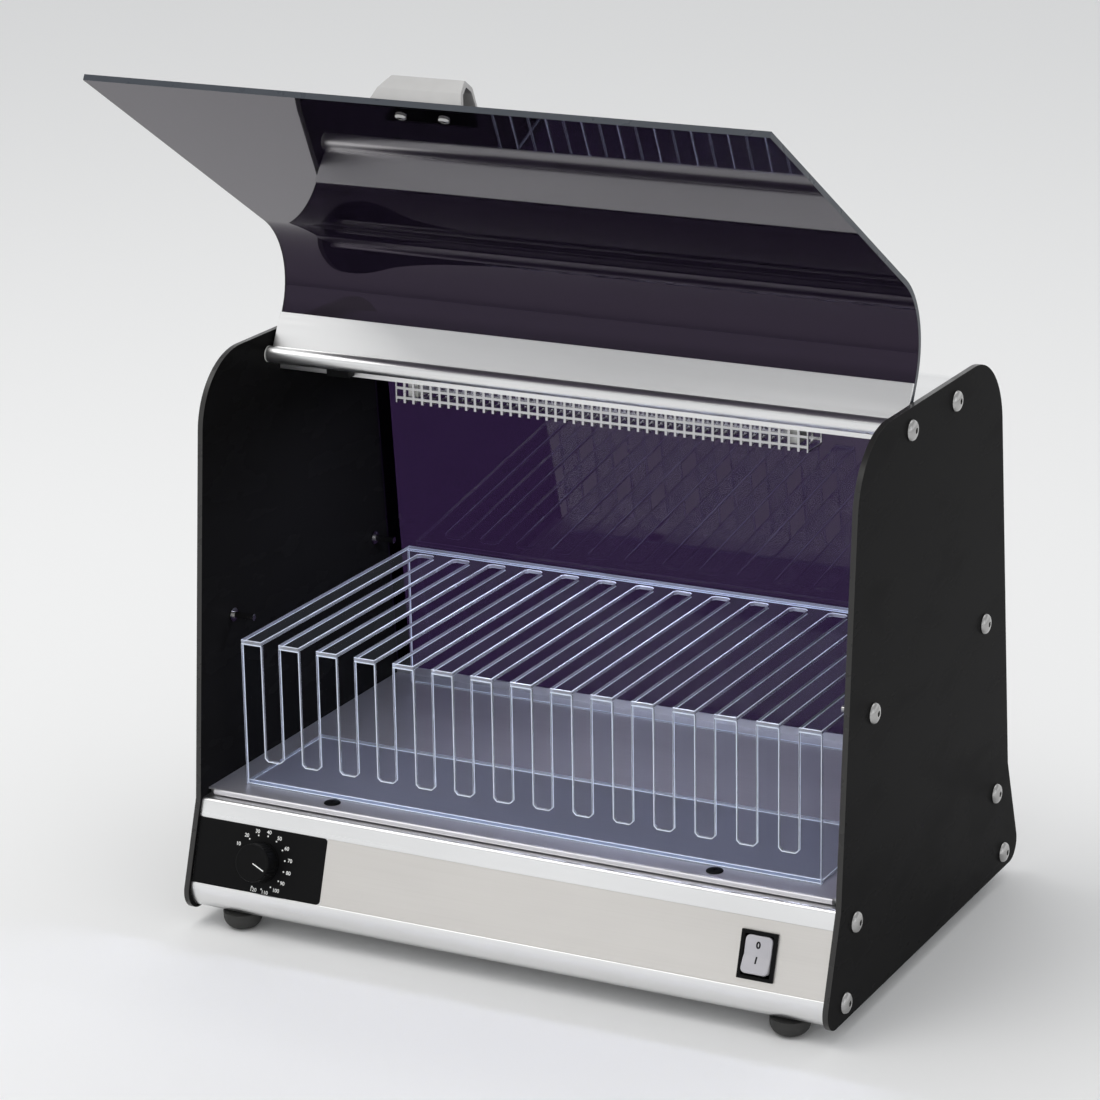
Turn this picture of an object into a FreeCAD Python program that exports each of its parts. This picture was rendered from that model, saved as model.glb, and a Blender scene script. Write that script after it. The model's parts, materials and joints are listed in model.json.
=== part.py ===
import FreeCAD, Part
import Sketcher
import math
import os
import re

# A bench-top ultraviolet steriliser cabinet, in millimetres.
# x runs to the right, y to the back and z up from the surface that the feet stand on.
# Heights and widths are measured from the floor and from the cabinet's middle. Depths are measured
# from the middle plane of the side panels, which lies middle_y behind the origin.

SIZES = {
    # overall
    "outer_width": 500,
    "middle_y": 38,
    "foot_height": 12,
    "panel_thick": 4,
    "panel_high": 396,
    # side panel outline, half depths at the bottom, at the kink and at the top
    "bottom_half": 180,
    "kink_half": 153.5,
    "kink_high": 92,
    "top_half": 125.1,
    "top_round": 55,
    "bottom_round": 14,
    # bolts through the side panels
    "roof_bolt_y": 40,
    "roof_bolt_z": 392.5,
    "shelf_bolt_y": 101,
    "shelf_bolt_z": 214.5,
    "upper_bolt_y": 129,
    "upper_bolt_z": 76.7,
    "lower_bolt_y": 146,
    "lower_bolt_z": 25.2,
    "bolt_radius": 3,
    "bolt_hole": 3.1,
    "bolt_head_radius": 7.5,
    "bolt_head_high": 4.2,
    "hex_key": 4,
    "roof_bolt_reach": 18,
    "base_bolt_reach": 22,
    "pin_radius": 2.4,
    "pin_long": 18,
    "pin_collar_radius": 5,
    "pin_collar_thick": 1.5,
    # base profiles, front and rear, aluminium extrusions between the side panels
    "profile_inset": 2.5,
    "profile_wall": 2.5,
    "profile_bottom": 12.4,
    "nose_top": 92,
    "shelf_top": 95.8,
    "shelf_front": 139,
    "bull_nose": 16,
    "nose_round": 3.5,
    "band_bottom": 34.5,
    "band_top": 79.6,
    "port_radius": 5,
    "port_hole": 3.1,
    "lip_end": 132,
    "web_extra": 0.8,
    "window_gap": 0.5,
    # bottom pan and floor tray
    "pan_thick": 1.2,
    "tray_top": 97,
    "tray_thick": 1.2,
    "tray_front": 143,
    "tray_bead": 2.4,
    "tray_half": 240,
    "tray_upstand": 6,
    "tray_gap": 0.5,
    "disc_x": 149,
    "disc_y": 133,
    "disc_radius": 6,
    "disc_thick": 1.4,
    "disc_socket": 2,
    "tray_screw_radius": 2.1,
    "tray_screw_hole": 2.2,
    # rear wall and roof
    "rear_inset": 18,
    "sheet": 2,
    "acrylic": 4,
    "roof_top": 400.5,
    "roof_front": 24,
    "roof_lip": 378,
    "skirt_end": 336,
    "roof_round": 50,
    "sheet_gap": 0.2,
    "rail_deep": 14,
    "rail_high": 12,
    "wall_overlap": 14,
    "wall_screw_up": 7,
    "wall_screw_pitch": 100,
    "wall_screw_head": 3.4,
    "screw_head_high": 1.8,
    "wall_screw_radius": 1.6,
    "wall_screw_hole": 1.7,
    # door
    "door_width": 489,
    "door_bottom": 94,
    "door_bend": 58,
    "door_start": 9,
    "barrel_radius": 6,
    "barrel_bore": 4,
    "leaf_length": 32,
    "leaf_thick": 2,
    "rail_lip": 20,
    "rail_lip_thick": 1.5,
    "rail_lip_back": 2,
    "leaf_start": 3,
    "door_open": 117.5,
    "bush_long": 22,
    "flange_thick": 0.8,
    "running": 0.05,
    # handle on the door
    "handle_long": 66,
    "handle_wide": 28,
    "handle_high": 21,
    "handle_wall": 4,
    "handle_from_edge": 17,
    "handle_pitch": 31,
    "handle_slant": 7,
    "handle_shoulder": 8,
    "handle_draft": 1,
    "handle_rounding": 3,
    "boss_radius": 4.5,
    "handle_screw_radius": 2,
    "handle_screw_head": 3.8,
    "handle_screw_head_high": 2.2,
    "handle_screw_grip": 9,
    "pilot_clearance": 0.05,
    # timer
    "dial_x": -190.9,
    "dial_up": 22.6,
    "knob_radius": 14.3,
    "knob_face": 13.6,
    "knob_high": 14,
    "timer_plate_wide": 105,
    "timer_plate_thick": 0.8,
    "timer_body": 38,
    "timer_deep": 30,
    "timer_wall": 3.5,
    "timer_bush_radius": 5,
    "timer_bush_high": 6.4,
    "timer_bush_hole": 5.2,
    "timer_nut_radius": 7.5,
    "timer_nut_high": 2.2,
    "knob_lift": 1.2,
    "knob_cup": 8.2,
    "knob_cup_deep": 3.5,
    "knob_seat_deep": 11,
    "shaft_radius": 3,
    "shaft_in": 10,
    "shaft_long": 22,
    # switch
    "switch_x": 194.5,
    "switch_low": 1.6,
    "switch_wide": 26.4,
    "switch_tall": 33,
    "switch_bezel": 2,
    "switch_flange": 1.5,
    "switch_window": 1.4,
    "switch_deep": 18,
    "switch_well_deep": 12,
    "rocker_side_gap": 0.4,
    "rocker_end_gap": 0.9,
    "rocker_wide": 20,
    "rocker_tall": 26,
    "rocker_tilt": 9,
    "rocker_pivot": -1.6,
    "rocker_dip": 3,
    "rocker_rise": 5.4,
    "rocker_root": -2,
    "rocker_keel": -7,
    "rocker_round": 1,
    "fascia_thick": 0.5,
    "fascia_sunk": 0.1,
    "fascia_rest": 0.2,
    "fascia_gap": 0.45,
    "fascia_joint": 0.2,
    # rack
    "rack_width": 448,
    "rack_front": 126.5,
    "rack_back": 116,
    "rack_top": 206.5,
    "rack_thick": 3,
    "slot_count": 14,
    "slot_wide": 14,
    "slot_bottom": 117,
    "slot_back": 101,
    "slot_chamfer": 2.2,
    "rack_base_back": 22,
    # lamp
    "guard_half": 161,
    "guard_front": 6,
    "guard_back": 18,
    "guard_bottom": 357.5,
    "guard_sheet": 1,
    "guard_pitch": 7.15,
    "guard_hole": 5.3,
    "lamp_y": 6,
    "lamp_z": 371,
    "lamp_radius": 8,
    "lamp_half": 141,
    "holder_thick": 8,
    "holder_deep": 18,
    "holder_gap": 3.2,
    "cap_long": 3,
    "lamp_pin_radius": 1.2,
    "lamp_pin_long": 9,
    "lamp_pin_step": 2.5,
    "lamp_socket_radius": 1.3,
    "guard_flange": 8,
    "guard_screw_in": 4,
    "guard_screw_radius": 1.5,
    "guard_screw_hole": 1.6,
    "guard_screw_head": 3,
    "guard_first_row": 2.5,
    # feet
    "foot_x": 214,
    "foot_y": 154,
    "foot_radius": 14,
    "foot_round": 9,
    "foot_screw_radius": 2,
    "foot_screw_start": 5.1,
    "foot_screw_long": 15,
    "foot_screw_hole": 2.1,
    "foot_hole": 2.2,
    "foot_nut_radius": 3,
    "foot_nut_high": 2.6,
    "foot_nut_lift": 0.3,
    # pieces on the bottom pan
    "ballast_x": -60,
    "ballast_long": 150,
    "ballast_wide": 40,
    "ballast_high": 28,
    "starter_x": -115,
    "starter_radius": 10.5,
    "starter_high": 36,
    "starter_base_long": 30,
    "starter_base_wide": 34,
    "starter_base_high": 8,
    "terminal_x": 130,
    "terminal_y": 40,
    "terminal_long": 60,
    "terminal_wide": 18,
    "terminal_high": 14,
    # cable gland and door interlock
    "gland_x": 190,
    "gland_bore_radius": 4,
    "gland_neck_radius": 8,
    "gland_neck_long": 14,
    "gland_flange_radius": 11,
    "gland_flange_high": 5,
    "gland_dome_base": 9.5,
    "gland_dome_tip": 6,
    "gland_dome_high": 10,
    "gland_nut_high": 4,
    "gland_nut_start": 7.2,
    "gland_hole": 8.1,
    "thread_clearance": 0.05,
    "interlock_x": 193,
    "interlock_z": 387,
    "interlock_wide": 18,
    "interlock_deep": 8.5,
    "interlock_high": 11,
    "interlock_below": 8,
    "plunger_radius": 1.6,
    "plunger_long": 5.5,
    "plunger_out": 2.2,
    "plunger_bore_deep": 6.5,
    "plunger_clearance": 0.1,
}

doc = FreeCAD.newDocument("uv_sterilizer_cabinet")
sheet = doc.addObject("Spreadsheet::Sheet", "sizes")
for row, (alias, number) in enumerate(SIZES.items(), start=1):
    sheet.set(f"A{row}", alias.replace("_", " "))
    sheet.set(f"B{row}", str(number))
    sheet.setAlias(f"B{row}", alias)
doc.recompute()

workings = doc.addObject("Spreadsheet::Sheet", "workings")
nodes = []


def linked(text):
    """An expression in sheet names, written the way other objects of the document refer to them."""
    return re.sub(r"[a-z_]+", lambda word: f"sizes.{word.group()}" if word.group() in SIZES
                  else word.group(), str(text))


def value(text):
    """What an expression in sheet names comes to."""
    workings.set("A1", f"={linked(text)}")
    workings.recompute()
    return float(workings.get("A1"))


def bind(obj, **sizes):
    for prop, text in sizes.items():
        obj.setExpression(prop, linked(text))
    return obj


def place(obj, x="0", y="0", z="0", turn=None):
    """Put an object at x, y, z, with y counted from the cabinet's middle plane."""
    if turn:
        obj.Placement = FreeCAD.Placement(FreeCAD.Vector(), turn)
    obj.setExpression("Placement.Base.x", linked(x))
    obj.setExpression("Placement.Base.y", linked(f"middle_y + ({y})"))
    obj.setExpression("Placement.Base.z", linked(z))
    return obj


def node(obj, label):
    """Name a finished sub-part and list it for export."""
    obj.Label = label
    nodes.append(obj)
    return obj


def block(name, size, low):
    """A box from its three sizes and its low corner."""
    box = doc.addObject("Part::Box", name)
    bind(box, Length=size[0], Width=size[1], Height=size[2])
    return place(box, *low)


ALONG_X = FreeCAD.Rotation(FreeCAD.Vector(0, 1, 0), 90)
ALONG_MINUS_X = FreeCAD.Rotation(FreeCAD.Vector(0, 1, 0), -90)
TOWARDS_BACK = FreeCAD.Rotation(FreeCAD.Vector(1, 0, 0), -90)


def rod(name, radius, length, start, turn=None):
    """A cylinder that starts at a point and runs up, or along x or y where a turn is given."""
    cylinder = doc.addObject("Part::Cylinder", name)
    bind(cylinder, Radius=radius, Height=length)
    return place(cylinder, *start, turn=turn)


def cut(name, base, *tools):
    tool = tools[0] if len(tools) == 1 else join(f"{name}_tools", *tools)
    result = doc.addObject("Part::Cut", name)
    result.Base = base
    result.Tool = tool
    return result


def join(name, *pieces):
    result = doc.addObject("Part::MultiFuse", name)
    result.Shapes = list(pieces)
    return result


def group(name, *pieces):
    """Several identical solids that share one node."""
    result = doc.addObject("Part::Compound", name)
    result.Links = list(pieces)
    return result


def outline_sketch(body, name, plane, points):
    """A closed sketch through points, each held by two dimensions that the sheet drives."""
    sketch = body.newObject("Sketcher::SketchObject", name)
    origin_plane = [f for f in body.Origin.OriginFeatures if f.Role == plane][0]
    sketch.AttachmentSupport = [(origin_plane, "")]
    sketch.MapMode = "FlatFace"
    corners = [FreeCAD.Vector(value(a), value(b), 0) for a, b in points]
    for i, corner in enumerate(corners):
        sketch.addGeometry(Part.LineSegment(corner, corners[(i + 1) % len(corners)]))
    for i, (a, b) in enumerate(points):
        sketch.addConstraint(Sketcher.Constraint("Coincident", i, 2, (i + 1) % len(points), 1))
        across = sketch.addConstraint(Sketcher.Constraint("DistanceX", -1, 1, i, 1, corners[i].x))
        upward = sketch.addConstraint(Sketcher.Constraint("DistanceY", -1, 1, i, 1, corners[i].y))
        sketch.setExpression(f"Constraints[{across}]", linked(a))
        sketch.setExpression(f"Constraints[{upward}]", linked(b))
    return sketch


def extrusion(name, plane, points, thick, start=None, turn=None):
    """A body with one outline padded to a thickness, along x for YZ and along z for XY."""
    body = doc.addObject("PartDesign::Body", name)
    sketch = outline_sketch(body, f"{name}_outline", plane, points)
    pad = body.newObject("PartDesign::Pad", f"{name}_pad")
    pad.Profile = sketch
    pad.setExpression("Length", linked(thick))
    sketch.Visibility = False
    if start:
        place(body, *start, turn=turn)
    doc.recompute()
    return body


def edges_along(shape, plane, corner):
    """Names of the straight edges that stand on the outline's plane at a corner."""
    names = []
    for number, edge in enumerate(shape.Edges, start=1):
        ends = [(v.Y, v.Z) if plane == "YZ_Plane" else (v.X, v.Y) for v in edge.Vertexes]
        if len(ends) == 2 and all(math.dist(end, corner) < 0.001 for end in ends):
            names.append(f"Edge{number}")
    return names


def soften(body, plane, kind, size, corners):
    """Round or chamfer the edges at some corners of a body's outline."""
    base = body.Tip
    picked = []
    for a, b in corners:
        picked += edges_along(base.Shape, plane, (value(a), value(b)))
    feature = body.newObject(f"PartDesign::{kind}", f"{body.Name}_{kind.lower()}")
    feature.Base = (base, picked)
    feature.setExpression("Radius" if kind == "Fillet" else "Size", linked(size))
    body.Tip = feature
    doc.recompute()
    return body


# ---------------------------------------------------------------- slanted faces
# The lower flank of the side panels slopes by FLANK and the upper flank by LEAN, y per z.
FLANK = "(bottom_half - kink_half) / (kink_high - foot_height)"
LEAN = "(kink_half - top_half) / (foot_height + panel_high - kink_high)"


def face_at(z):
    """Half depth of the base profiles' outer face at a height."""
    return f"kink_half - profile_inset + (kink_high - ({z})) * {FLANK}"


def port_at(z):
    """Half depth of the line through the two screw ports of a base profile."""
    return f"upper_bolt_y + (upper_bolt_z - ({z})) * {FLANK}"


def edge_at(z):
    """Half depth of the side panels' leaning upper edge at a height."""
    return f"kink_half - (({z}) - kink_high) * {LEAN}"


HINGE = FreeCAD.Vector(0, -value("roof_bolt_y"), value("roof_bolt_z"))
OPENING = FreeCAD.Rotation(FreeCAD.Vector(1, 0, 0), -value("door_open"))
HALF_TURN = FreeCAD.Placement(FreeCAD.Vector(), FreeCAD.Rotation(FreeCAD.Vector(0, 0, 1), 180))
FRONT_FACE = (face_at("band_bottom"), "band_bottom", FLANK)
DOOR_FACE = (edge_at("door_bottom"), "door_bottom", LEAN)
REAR_SKIRT = (f"{edge_at('skirt_end')} - rear_inset + sheet", "skirt_end", LEAN)


def on_slope(face, x, up, out, rear=False, opened=False):
    """A placement on a slanted face: x across, y up the slope and z out of it."""
    depth, height, slope = face
    tilt = FreeCAD.Rotation(FreeCAD.Vector(1, 0, 0), 90 - math.degrees(math.atan(value(slope))))
    spot = FreeCAD.Placement(FreeCAD.Vector(0, -value(depth), value(height)), tilt)
    spot = spot * FreeCAD.Placement(FreeCAD.Vector(value(x), value(up), value(out)), FreeCAD.Rotation())
    if rear:
        spot = HALF_TURN * spot
    if opened:
        spot = FreeCAD.Placement(HINGE, OPENING) * FreeCAD.Placement(-HINGE, FreeCAD.Rotation()) * spot
    spot.Base = spot.Base + FreeCAD.Vector(0, value("middle_y"), 0)
    return spot


def slanted(obj, face, x, up, out, **where):
    obj.Placement = on_slope(face, x, up, out, **where)
    return obj


def slanted_block(name, size, face, low, **where):
    box = doc.addObject("Part::Box", name)
    bind(box, Length=size[0], Width=size[1], Height=size[2])
    return slanted(box, face, *low, **where)


def slanted_rod(name, radius, length, face, start, **where):
    cylinder = doc.addObject("Part::Cylinder", name)
    bind(cylinder, Radius=radius, Height=length)
    return slanted(cylinder, face, *start, **where)


# ---------------------------------------------------------------- side panels and their bolts
INSIDE = "outer_width / 2 - panel_thick"
SIDES = {"left": -1, "right": 1}
PANEL_TOP = "foot_height + panel_high"
PANEL_OUTLINE = [
    ("-bottom_half", "foot_height"), ("bottom_half", "foot_height"), ("kink_half", "kink_high"),
    ("top_half", PANEL_TOP), ("-top_half", PANEL_TOP), ("-kink_half", "kink_high"),
]
BOLT_PLACES = [(f"{sign} * {kind}_bolt_y", f"{kind}_bolt_z", kind, sign)
               for kind in ("roof", "shelf", "upper", "lower") for sign in (-1, 1)]
REACH = {"roof": "roof_bolt_reach", "shelf": "panel_thick - 0.1", "upper": "base_bolt_reach",
         "lower": "base_bolt_reach"}
HINGE_REACH = "panel_thick + bush_long"


def outwards(side):
    return ALONG_X if side > 0 else ALONG_MINUS_X


def inwards(side):
    return ALONG_MINUS_X if side > 0 else ALONG_X


def panel_bolt(name, side, y, z, reach):
    """A low round-headed bolt with a hexagon socket, pushed through a side panel from outside."""
    face = f"{side} * outer_width / 2"
    rim = rod(f"{name}_rim", "bolt_head_radius", "bolt_head_high / 2", (face, y, z), outwards(side))
    crown = doc.addObject("Part::Cone", f"{name}_crown")
    bind(crown, Radius1="bolt_head_radius", Radius2="bolt_head_radius * 2 / 3", Height="bolt_head_high / 2")
    place(crown, f"{side} * (outer_width / 2 + bolt_head_high / 2)", y, z, outwards(side))
    shank = rod(f"{name}_shank", "bolt_radius", reach, (face, y, z), inwards(side))
    socket = doc.addObject("Part::Prism", f"{name}_socket")
    socket.Polygon = 6
    bind(socket, Circumradius="hex_key / sqrt(3)", Height="bolt_head_high")
    place(socket, f"{side} * (outer_width / 2 + bolt_head_high * 0.4)", y, z, outwards(side))
    return cut(name, join(f"{name}_solid", rim, crown, shank), socket)


def side_panel(hand, side):
    start = "-outer_width / 2" if side < 0 else INSIDE
    name = f"side_panel_{hand}"
    sheet_body = extrusion(f"{name}_sheet", "YZ_Plane", PANEL_OUTLINE, "panel_thick", (start, "0", "0"))
    soften(sheet_body, "YZ_Plane", "Fillet", "top_round", PANEL_OUTLINE[3:5])
    soften(sheet_body, "YZ_Plane", "Fillet", "bottom_round", PANEL_OUTLINE[0:2])
    before = f"{start} - panel_thick"
    holes = [rod(f"{name}_hole_{i}", "bolt_hole", "panel_thick * 3", (before, y, z), ALONG_X)
             for i, (y, z, kind, sign) in enumerate(BOLT_PLACES)]
    node(cut(f"{name}_cut", sheet_body, *holes), name)


def bolts_of_side(hand, side):
    bolts = []
    for y, z, kind, sign in BOLT_PLACES:
        if kind == "roof" and sign < 0:
            node(panel_bolt(f"hinge_pin_{hand}", side, y, z, HINGE_REACH), f"hinge_bolt_{hand}")
        else:
            where = "front" if sign < 0 else "rear"
            bolts.append(panel_bolt(f"bolt_{kind}_{where}_{hand}", side, y, z, REACH[kind]))
    node(group(f"bolts_{hand}", *bolts), f"panel_bolts_{hand}")


def shelf_pins():
    """Short pins inside the chamber, on the shelf bolts, that carry a wire shelf."""
    for hand, side in SIDES.items():
        for where, sign in (("front", -1), ("rear", 1)):
            name = f"shelf_pin_{where}_{hand}"
            start = (f"{side} * ({INSIDE})", f"{sign} * shelf_bolt_y", "shelf_bolt_z")
            collar = rod(f"{name}_collar", "pin_collar_radius", "pin_collar_thick", start, inwards(side))
            pin = rod(f"{name}_stud", "pin_radius", "pin_long", start, inwards(side))
            node(join(f"{name}_solid", collar, pin), name)


# ---------------------------------------------------------------- base
RECESS = "(fascia_thick + fascia_sunk)"
BAND_TALL = f"(band_top - band_bottom) * sqrt(1 + ({FLANK}) * ({FLANK}))"
LENGTH = f"2 * ({INSIDE})"


def base_section(side):
    """Outer outline and hollow of a base profile, as (y, z) points."""
    wall = "profile_wall"
    outer = [
        (f"{port_at('shelf_top')} - {wall} / 2", "shelf_top"),
        ("shelf_front", "shelf_top"),
        ("shelf_front", "nose_top"),
        (face_at("nose_top"), "nose_top"),
        (face_at("band_top"), "band_top"),
        (f"{face_at('band_top')} - {RECESS} * 1.08", "band_top"),
        (f"{face_at('band_bottom')} - {RECESS} * 1.08", "band_bottom"),
        (face_at("band_bottom"), "band_bottom"),
        (face_at("profile_bottom"), "profile_bottom"),
        ("lip_end", "profile_bottom"),
        ("lip_end", f"profile_bottom + {wall}"),
        (f"{port_at('profile_bottom')} - {wall}", f"profile_bottom + {wall}"),
    ]
    low, high = f"profile_bottom + {wall}", f"nose_top - {wall}"
    skin = f"({wall} + web_extra)"
    hollow = [
        (f"{port_at('shelf_top')} + {wall}", f"shelf_top - {wall}"),
        (f"shelf_front - {wall}", f"shelf_top - {wall}"),
        (f"shelf_front - {wall}", high),
        (f"{face_at('nose_top - profile_wall')} - {skin}", high),
        (f"{face_at('profile_bottom + profile_wall')} - {skin}", low),
        (f"{port_at('profile_bottom + profile_wall')} + {wall} / 2", low),
    ]
    return [[(f"{side} * ({y})", z) for y, z in points] for points in (outer, hollow)]


def base_profile(label, side, *windows):
    outer, hollow = base_section(side)
    start = (f"-({INSIDE})", "0", "0")
    body = extrusion(f"{label}_solid", "YZ_Plane", outer, LENGTH, start)
    soften(body, "YZ_Plane", "Fillet", "bull_nose", [outer[8]])
    soften(body, "YZ_Plane", "Fillet", "nose_round", [outer[3]])
    core = extrusion(f"{label}_core", "YZ_Plane", hollow, LENGTH, start)
    soften(core, "YZ_Plane", "Fillet", "bull_nose - profile_wall", [hollow[4]])
    ports, bores = [], []
    for kind in ("upper", "lower"):
        spot = (f"-({INSIDE})", f"{side} * {kind}_bolt_y", f"{kind}_bolt_z")
        ports.append(rod(f"{label}_{kind}_port", "port_radius", LENGTH, spot, ALONG_X))
        bores.append(rod(f"{label}_{kind}_bore", "port_hole", LENGTH, spot, ALONG_X))
    shell = join(f"{label}_shell", cut(f"{label}_hollow", body, core), *ports)
    foot_holes = [rod(f"{label}_foot_hole_{hand}", "foot_hole", "foot_height",
                      (f"{s} * foot_x", f"{side} * foot_y", "foot_height - 2")) for hand, s in SIDES.items()]
    node(cut(f"{label}_drilled", shell, *bores, *foot_holes, *windows), label)


SWITCH_UP = f"({BAND_TALL} / 2 - switch_low)"
SWITCH_WINDOW = ("switch_wide - 2 * switch_window", "switch_tall - 2 * switch_window")
SWITCH_CORNER = ("switch_x - switch_wide / 2 + switch_window",
                 f"{SWITCH_UP} - switch_tall / 2 + switch_window")


def front_windows():
    """Holes in the front profile's web for the timer, its bush and the switch."""
    size, half = "timer_body + 2 * window_gap", "(timer_body / 2 + window_gap)"
    timer = slanted_block("timer_window", (size, size, "timer_deep + 10"), FRONT_FACE,
                          (f"dial_x - {half}", f"dial_up - {half}", "-timer_deep - 18"))
    bush = slanted_rod("timer_bush_window", "timer_bush_hole", "20", FRONT_FACE, ("dial_x", "dial_up", "-10"))
    switch = slanted_block("switch_window", (*SWITCH_WINDOW, "20"), FRONT_FACE, (*SWITCH_CORNER, "-14"))
    return timer, bush, switch


def fascias():
    """Thin plates in the recess of the base profiles: timer plate, front fascia and rear fascia."""
    low, tall = "fascia_rest", f"{BAND_TALL} - fascia_rest - fascia_gap"
    edge = f"{INSIDE} - 0.5"
    out = f"-{RECESS}"
    plate = slanted_block("timer_plate_blank", ("timer_plate_wide", tall, "timer_plate_thick"), FRONT_FACE,
                          (f"-({edge})", low, out))
    hole = slanted_rod("timer_plate_hole", "timer_bush_hole", "5", FRONT_FACE, ("dial_x", "dial_up", "-2"))
    node(cut("timer_plate_cut", plate, hole), "timer_plate")
    fascia_start = f"-({edge}) + timer_plate_wide + fascia_joint"
    band = slanted_block("fascia_blank",
                         (f"2 * ({edge}) - timer_plate_wide - fascia_joint", tall, "fascia_thick"),
                         FRONT_FACE, (fascia_start, low, out))
    window = slanted_block("fascia_window", (*SWITCH_WINDOW, "5"), FRONT_FACE, (*SWITCH_CORNER, "-2"))
    node(cut("fascia_cut", band, window), "front_fascia")
    rear_band = slanted_block("rear_fascia_blank", (f"2 * ({edge})", tall, "fascia_thick"), FRONT_FACE,
                              (f"-({edge})", low, out), rear=True)
    gland_hole = slanted_rod("rear_fascia_hole", "gland_hole", "5", FRONT_FACE, ("-gland_x", "dial_up", "-2"),
                             rear=True)
    node(cut("rear_fascia_cut", rear_band, gland_hole), "rear_fascia")


def bottom_and_tray():
    pan_half = f"{port_at('profile_bottom')} - profile_wall * 1.6"
    pan = block("pan_blank", (f"{LENGTH} - 2 * sheet_gap", f"2 * ({pan_half})", "pan_thick"),
                (f"-({INSIDE}) + sheet_gap", f"-({pan_half})", "profile_bottom + profile_wall"))
    node(pan, "bottom_pan")
    rear_edge = f"{edge_at('tray_top')} - rear_inset - acrylic - 0.8"
    wide, left = f"{LENGTH} - 2 * tray_gap", f"-({INSIDE}) + tray_gap"
    floor = block("tray_floor", (wide, f"tray_front + {rear_edge}", "tray_thick"),
                  (left, "-tray_front", "tray_top - tray_thick"))
    upstand = block("tray_upstand", (wide, "tray_thick", "tray_upstand"),
                    (left, f"{rear_edge} - tray_thick", "tray_top"))
    bead = rod("tray_front_bead", "tray_bead", "2 * tray_half",
               ("-tray_half", "-tray_front", "tray_top + 0.2 - tray_bead"), ALONG_X)
    holes = [rod(f"tray_hole_{hand}", "tray_screw_hole", "10",
                 (f"{side} * disc_x", "-disc_y", "tray_top - 8")) for hand, side in SIDES.items()]
    node(cut("tray_drilled", join("tray_blank", floor, upstand, bead), *holes), "floor_tray")
    screws = []
    for hand, side in SIDES.items():
        spot = (f"{side} * disc_x", "-disc_y")
        head = rod(f"tray_disc_{hand}", "disc_radius", "disc_thick", (*spot, "tray_top"))
        shank = rod(f"tray_shank_{hand}", "tray_screw_radius", "tray_thick", (*spot, "tray_top - tray_thick"))
        slot = rod(f"tray_socket_{hand}", "disc_socket", "disc_thick", (*spot, "tray_top + disc_thick / 2"))
        screws.append(cut(f"tray_screw_{hand}", join(f"tray_screw_solid_{hand}", head, shank), slot))
    node(group("tray_screw_pair", *screws), "tray_screws")


def feet():
    """Domed rubber feet, each on a screw with a nut inside the base profile."""
    fixings = []
    for hand, side in SIDES.items():
        for where, sign in (("front", -1), ("rear", 1)):
            name = f"foot_{where}_{hand}"
            spot = (f"{side} * foot_x", f"{sign} * foot_y")
            puck = rod(f"{name}_puck", "foot_radius", "profile_bottom", (*spot, "0"))
            hole = rod(f"{name}_hole", "foot_screw_hole", "profile_bottom", (*spot, "foot_screw_start - 0.1"))
            doc.recompute()
            dome = doc.addObject("Part::Fillet", f"{name}_dome")
            dome.Base = puck
            rim = [i for i, e in enumerate(puck.Shape.Edges, 1) if e.Closed and e.CenterOfMass.z < 0.01]
            dome.Edges = [(rim[0], value("foot_round"), value("foot_round"))]
            node(cut(f"{name}_rubber", dome, hole), name)
            shank = rod(f"{name}_shank", "foot_screw_radius", "foot_screw_long", (*spot, "foot_screw_start"))
            nut = doc.addObject("Part::Prism", f"{name}_nut")
            nut.Polygon = 6
            bind(nut, Circumradius="foot_nut_radius", Height="foot_nut_high")
            place(nut, *spot, "profile_bottom + profile_wall + foot_nut_lift")
            fixings.append(join(f"{name}_fixing", shank, nut))
    node(group("foot_fixing_set", *fixings), "foot_screws")


# ---------------------------------------------------------------- roof and rear wall
def roof():
    """Folded roof sheet: front lip, flat top, bend and a short rear skirt."""
    outer_edge = f"{edge_at('roof_top')} - rear_inset + sheet"
    inner_edge = f"{edge_at('roof_top - sheet')} - rear_inset"
    points = [
        ("-roof_front", "roof_lip"), ("-roof_front", "roof_top"),
        (outer_edge, "roof_top"),
        (f"{edge_at('skirt_end')} - rear_inset + sheet", "skirt_end"),
        (f"{edge_at('skirt_end')} - rear_inset", "skirt_end"),
        (inner_edge, "roof_top - sheet"),
        ("-roof_front + sheet", "roof_top - sheet"), ("-roof_front + sheet", "roof_lip"),
    ]
    body = extrusion("roof_sheet", "YZ_Plane", points, f"{LENGTH} - 2 * sheet_gap",
                     (f"-({INSIDE}) + sheet_gap", "0", "0"))
    soften(body, "YZ_Plane", "Fillet", "roof_round", [points[2]])
    soften(body, "YZ_Plane", "Fillet", "roof_round - sheet", [points[5]])
    holes = [rod(f"roof_hole_{i}", "guard_screw_hole", "10", (x, y, "roof_top - 6"))
             for i, (x, y) in enumerate(guard_fixings())]
    skirt_holes = [slanted_rod(f"skirt_hole_{i}", "wall_screw_hole", "12", REAR_SKIRT,
                               (x, "wall_screw_up", "-6"), rear=True) for i, x in enumerate(rear_fixings())]
    node(cut("roof_drilled", body, *holes, *skirt_holes), "roof_panel")
    rail = block("roof_rail_bar", (LENGTH, "rail_deep", "rail_high"),
                 (f"-({INSIDE})", "roof_bolt_y - rail_deep / 2", "roof_top - sheet - rail_high"))
    bore = rod("roof_rail_bore", "port_hole", LENGTH, (f"-({INSIDE})", "roof_bolt_y", "roof_bolt_z"), ALONG_X)
    node(cut("roof_rail_drilled", rail, bore), "roof_rail")


def guard_fixings():
    return [(f"{sign} * guard_half * 0.75", y) for sign in (-1, 1)
            for y in ("-guard_front - guard_screw_in", "guard_back + guard_screw_in")]


def rear_fixings():
    return [f"{i} * wall_screw_pitch" for i in range(-2, 3)]


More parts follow.
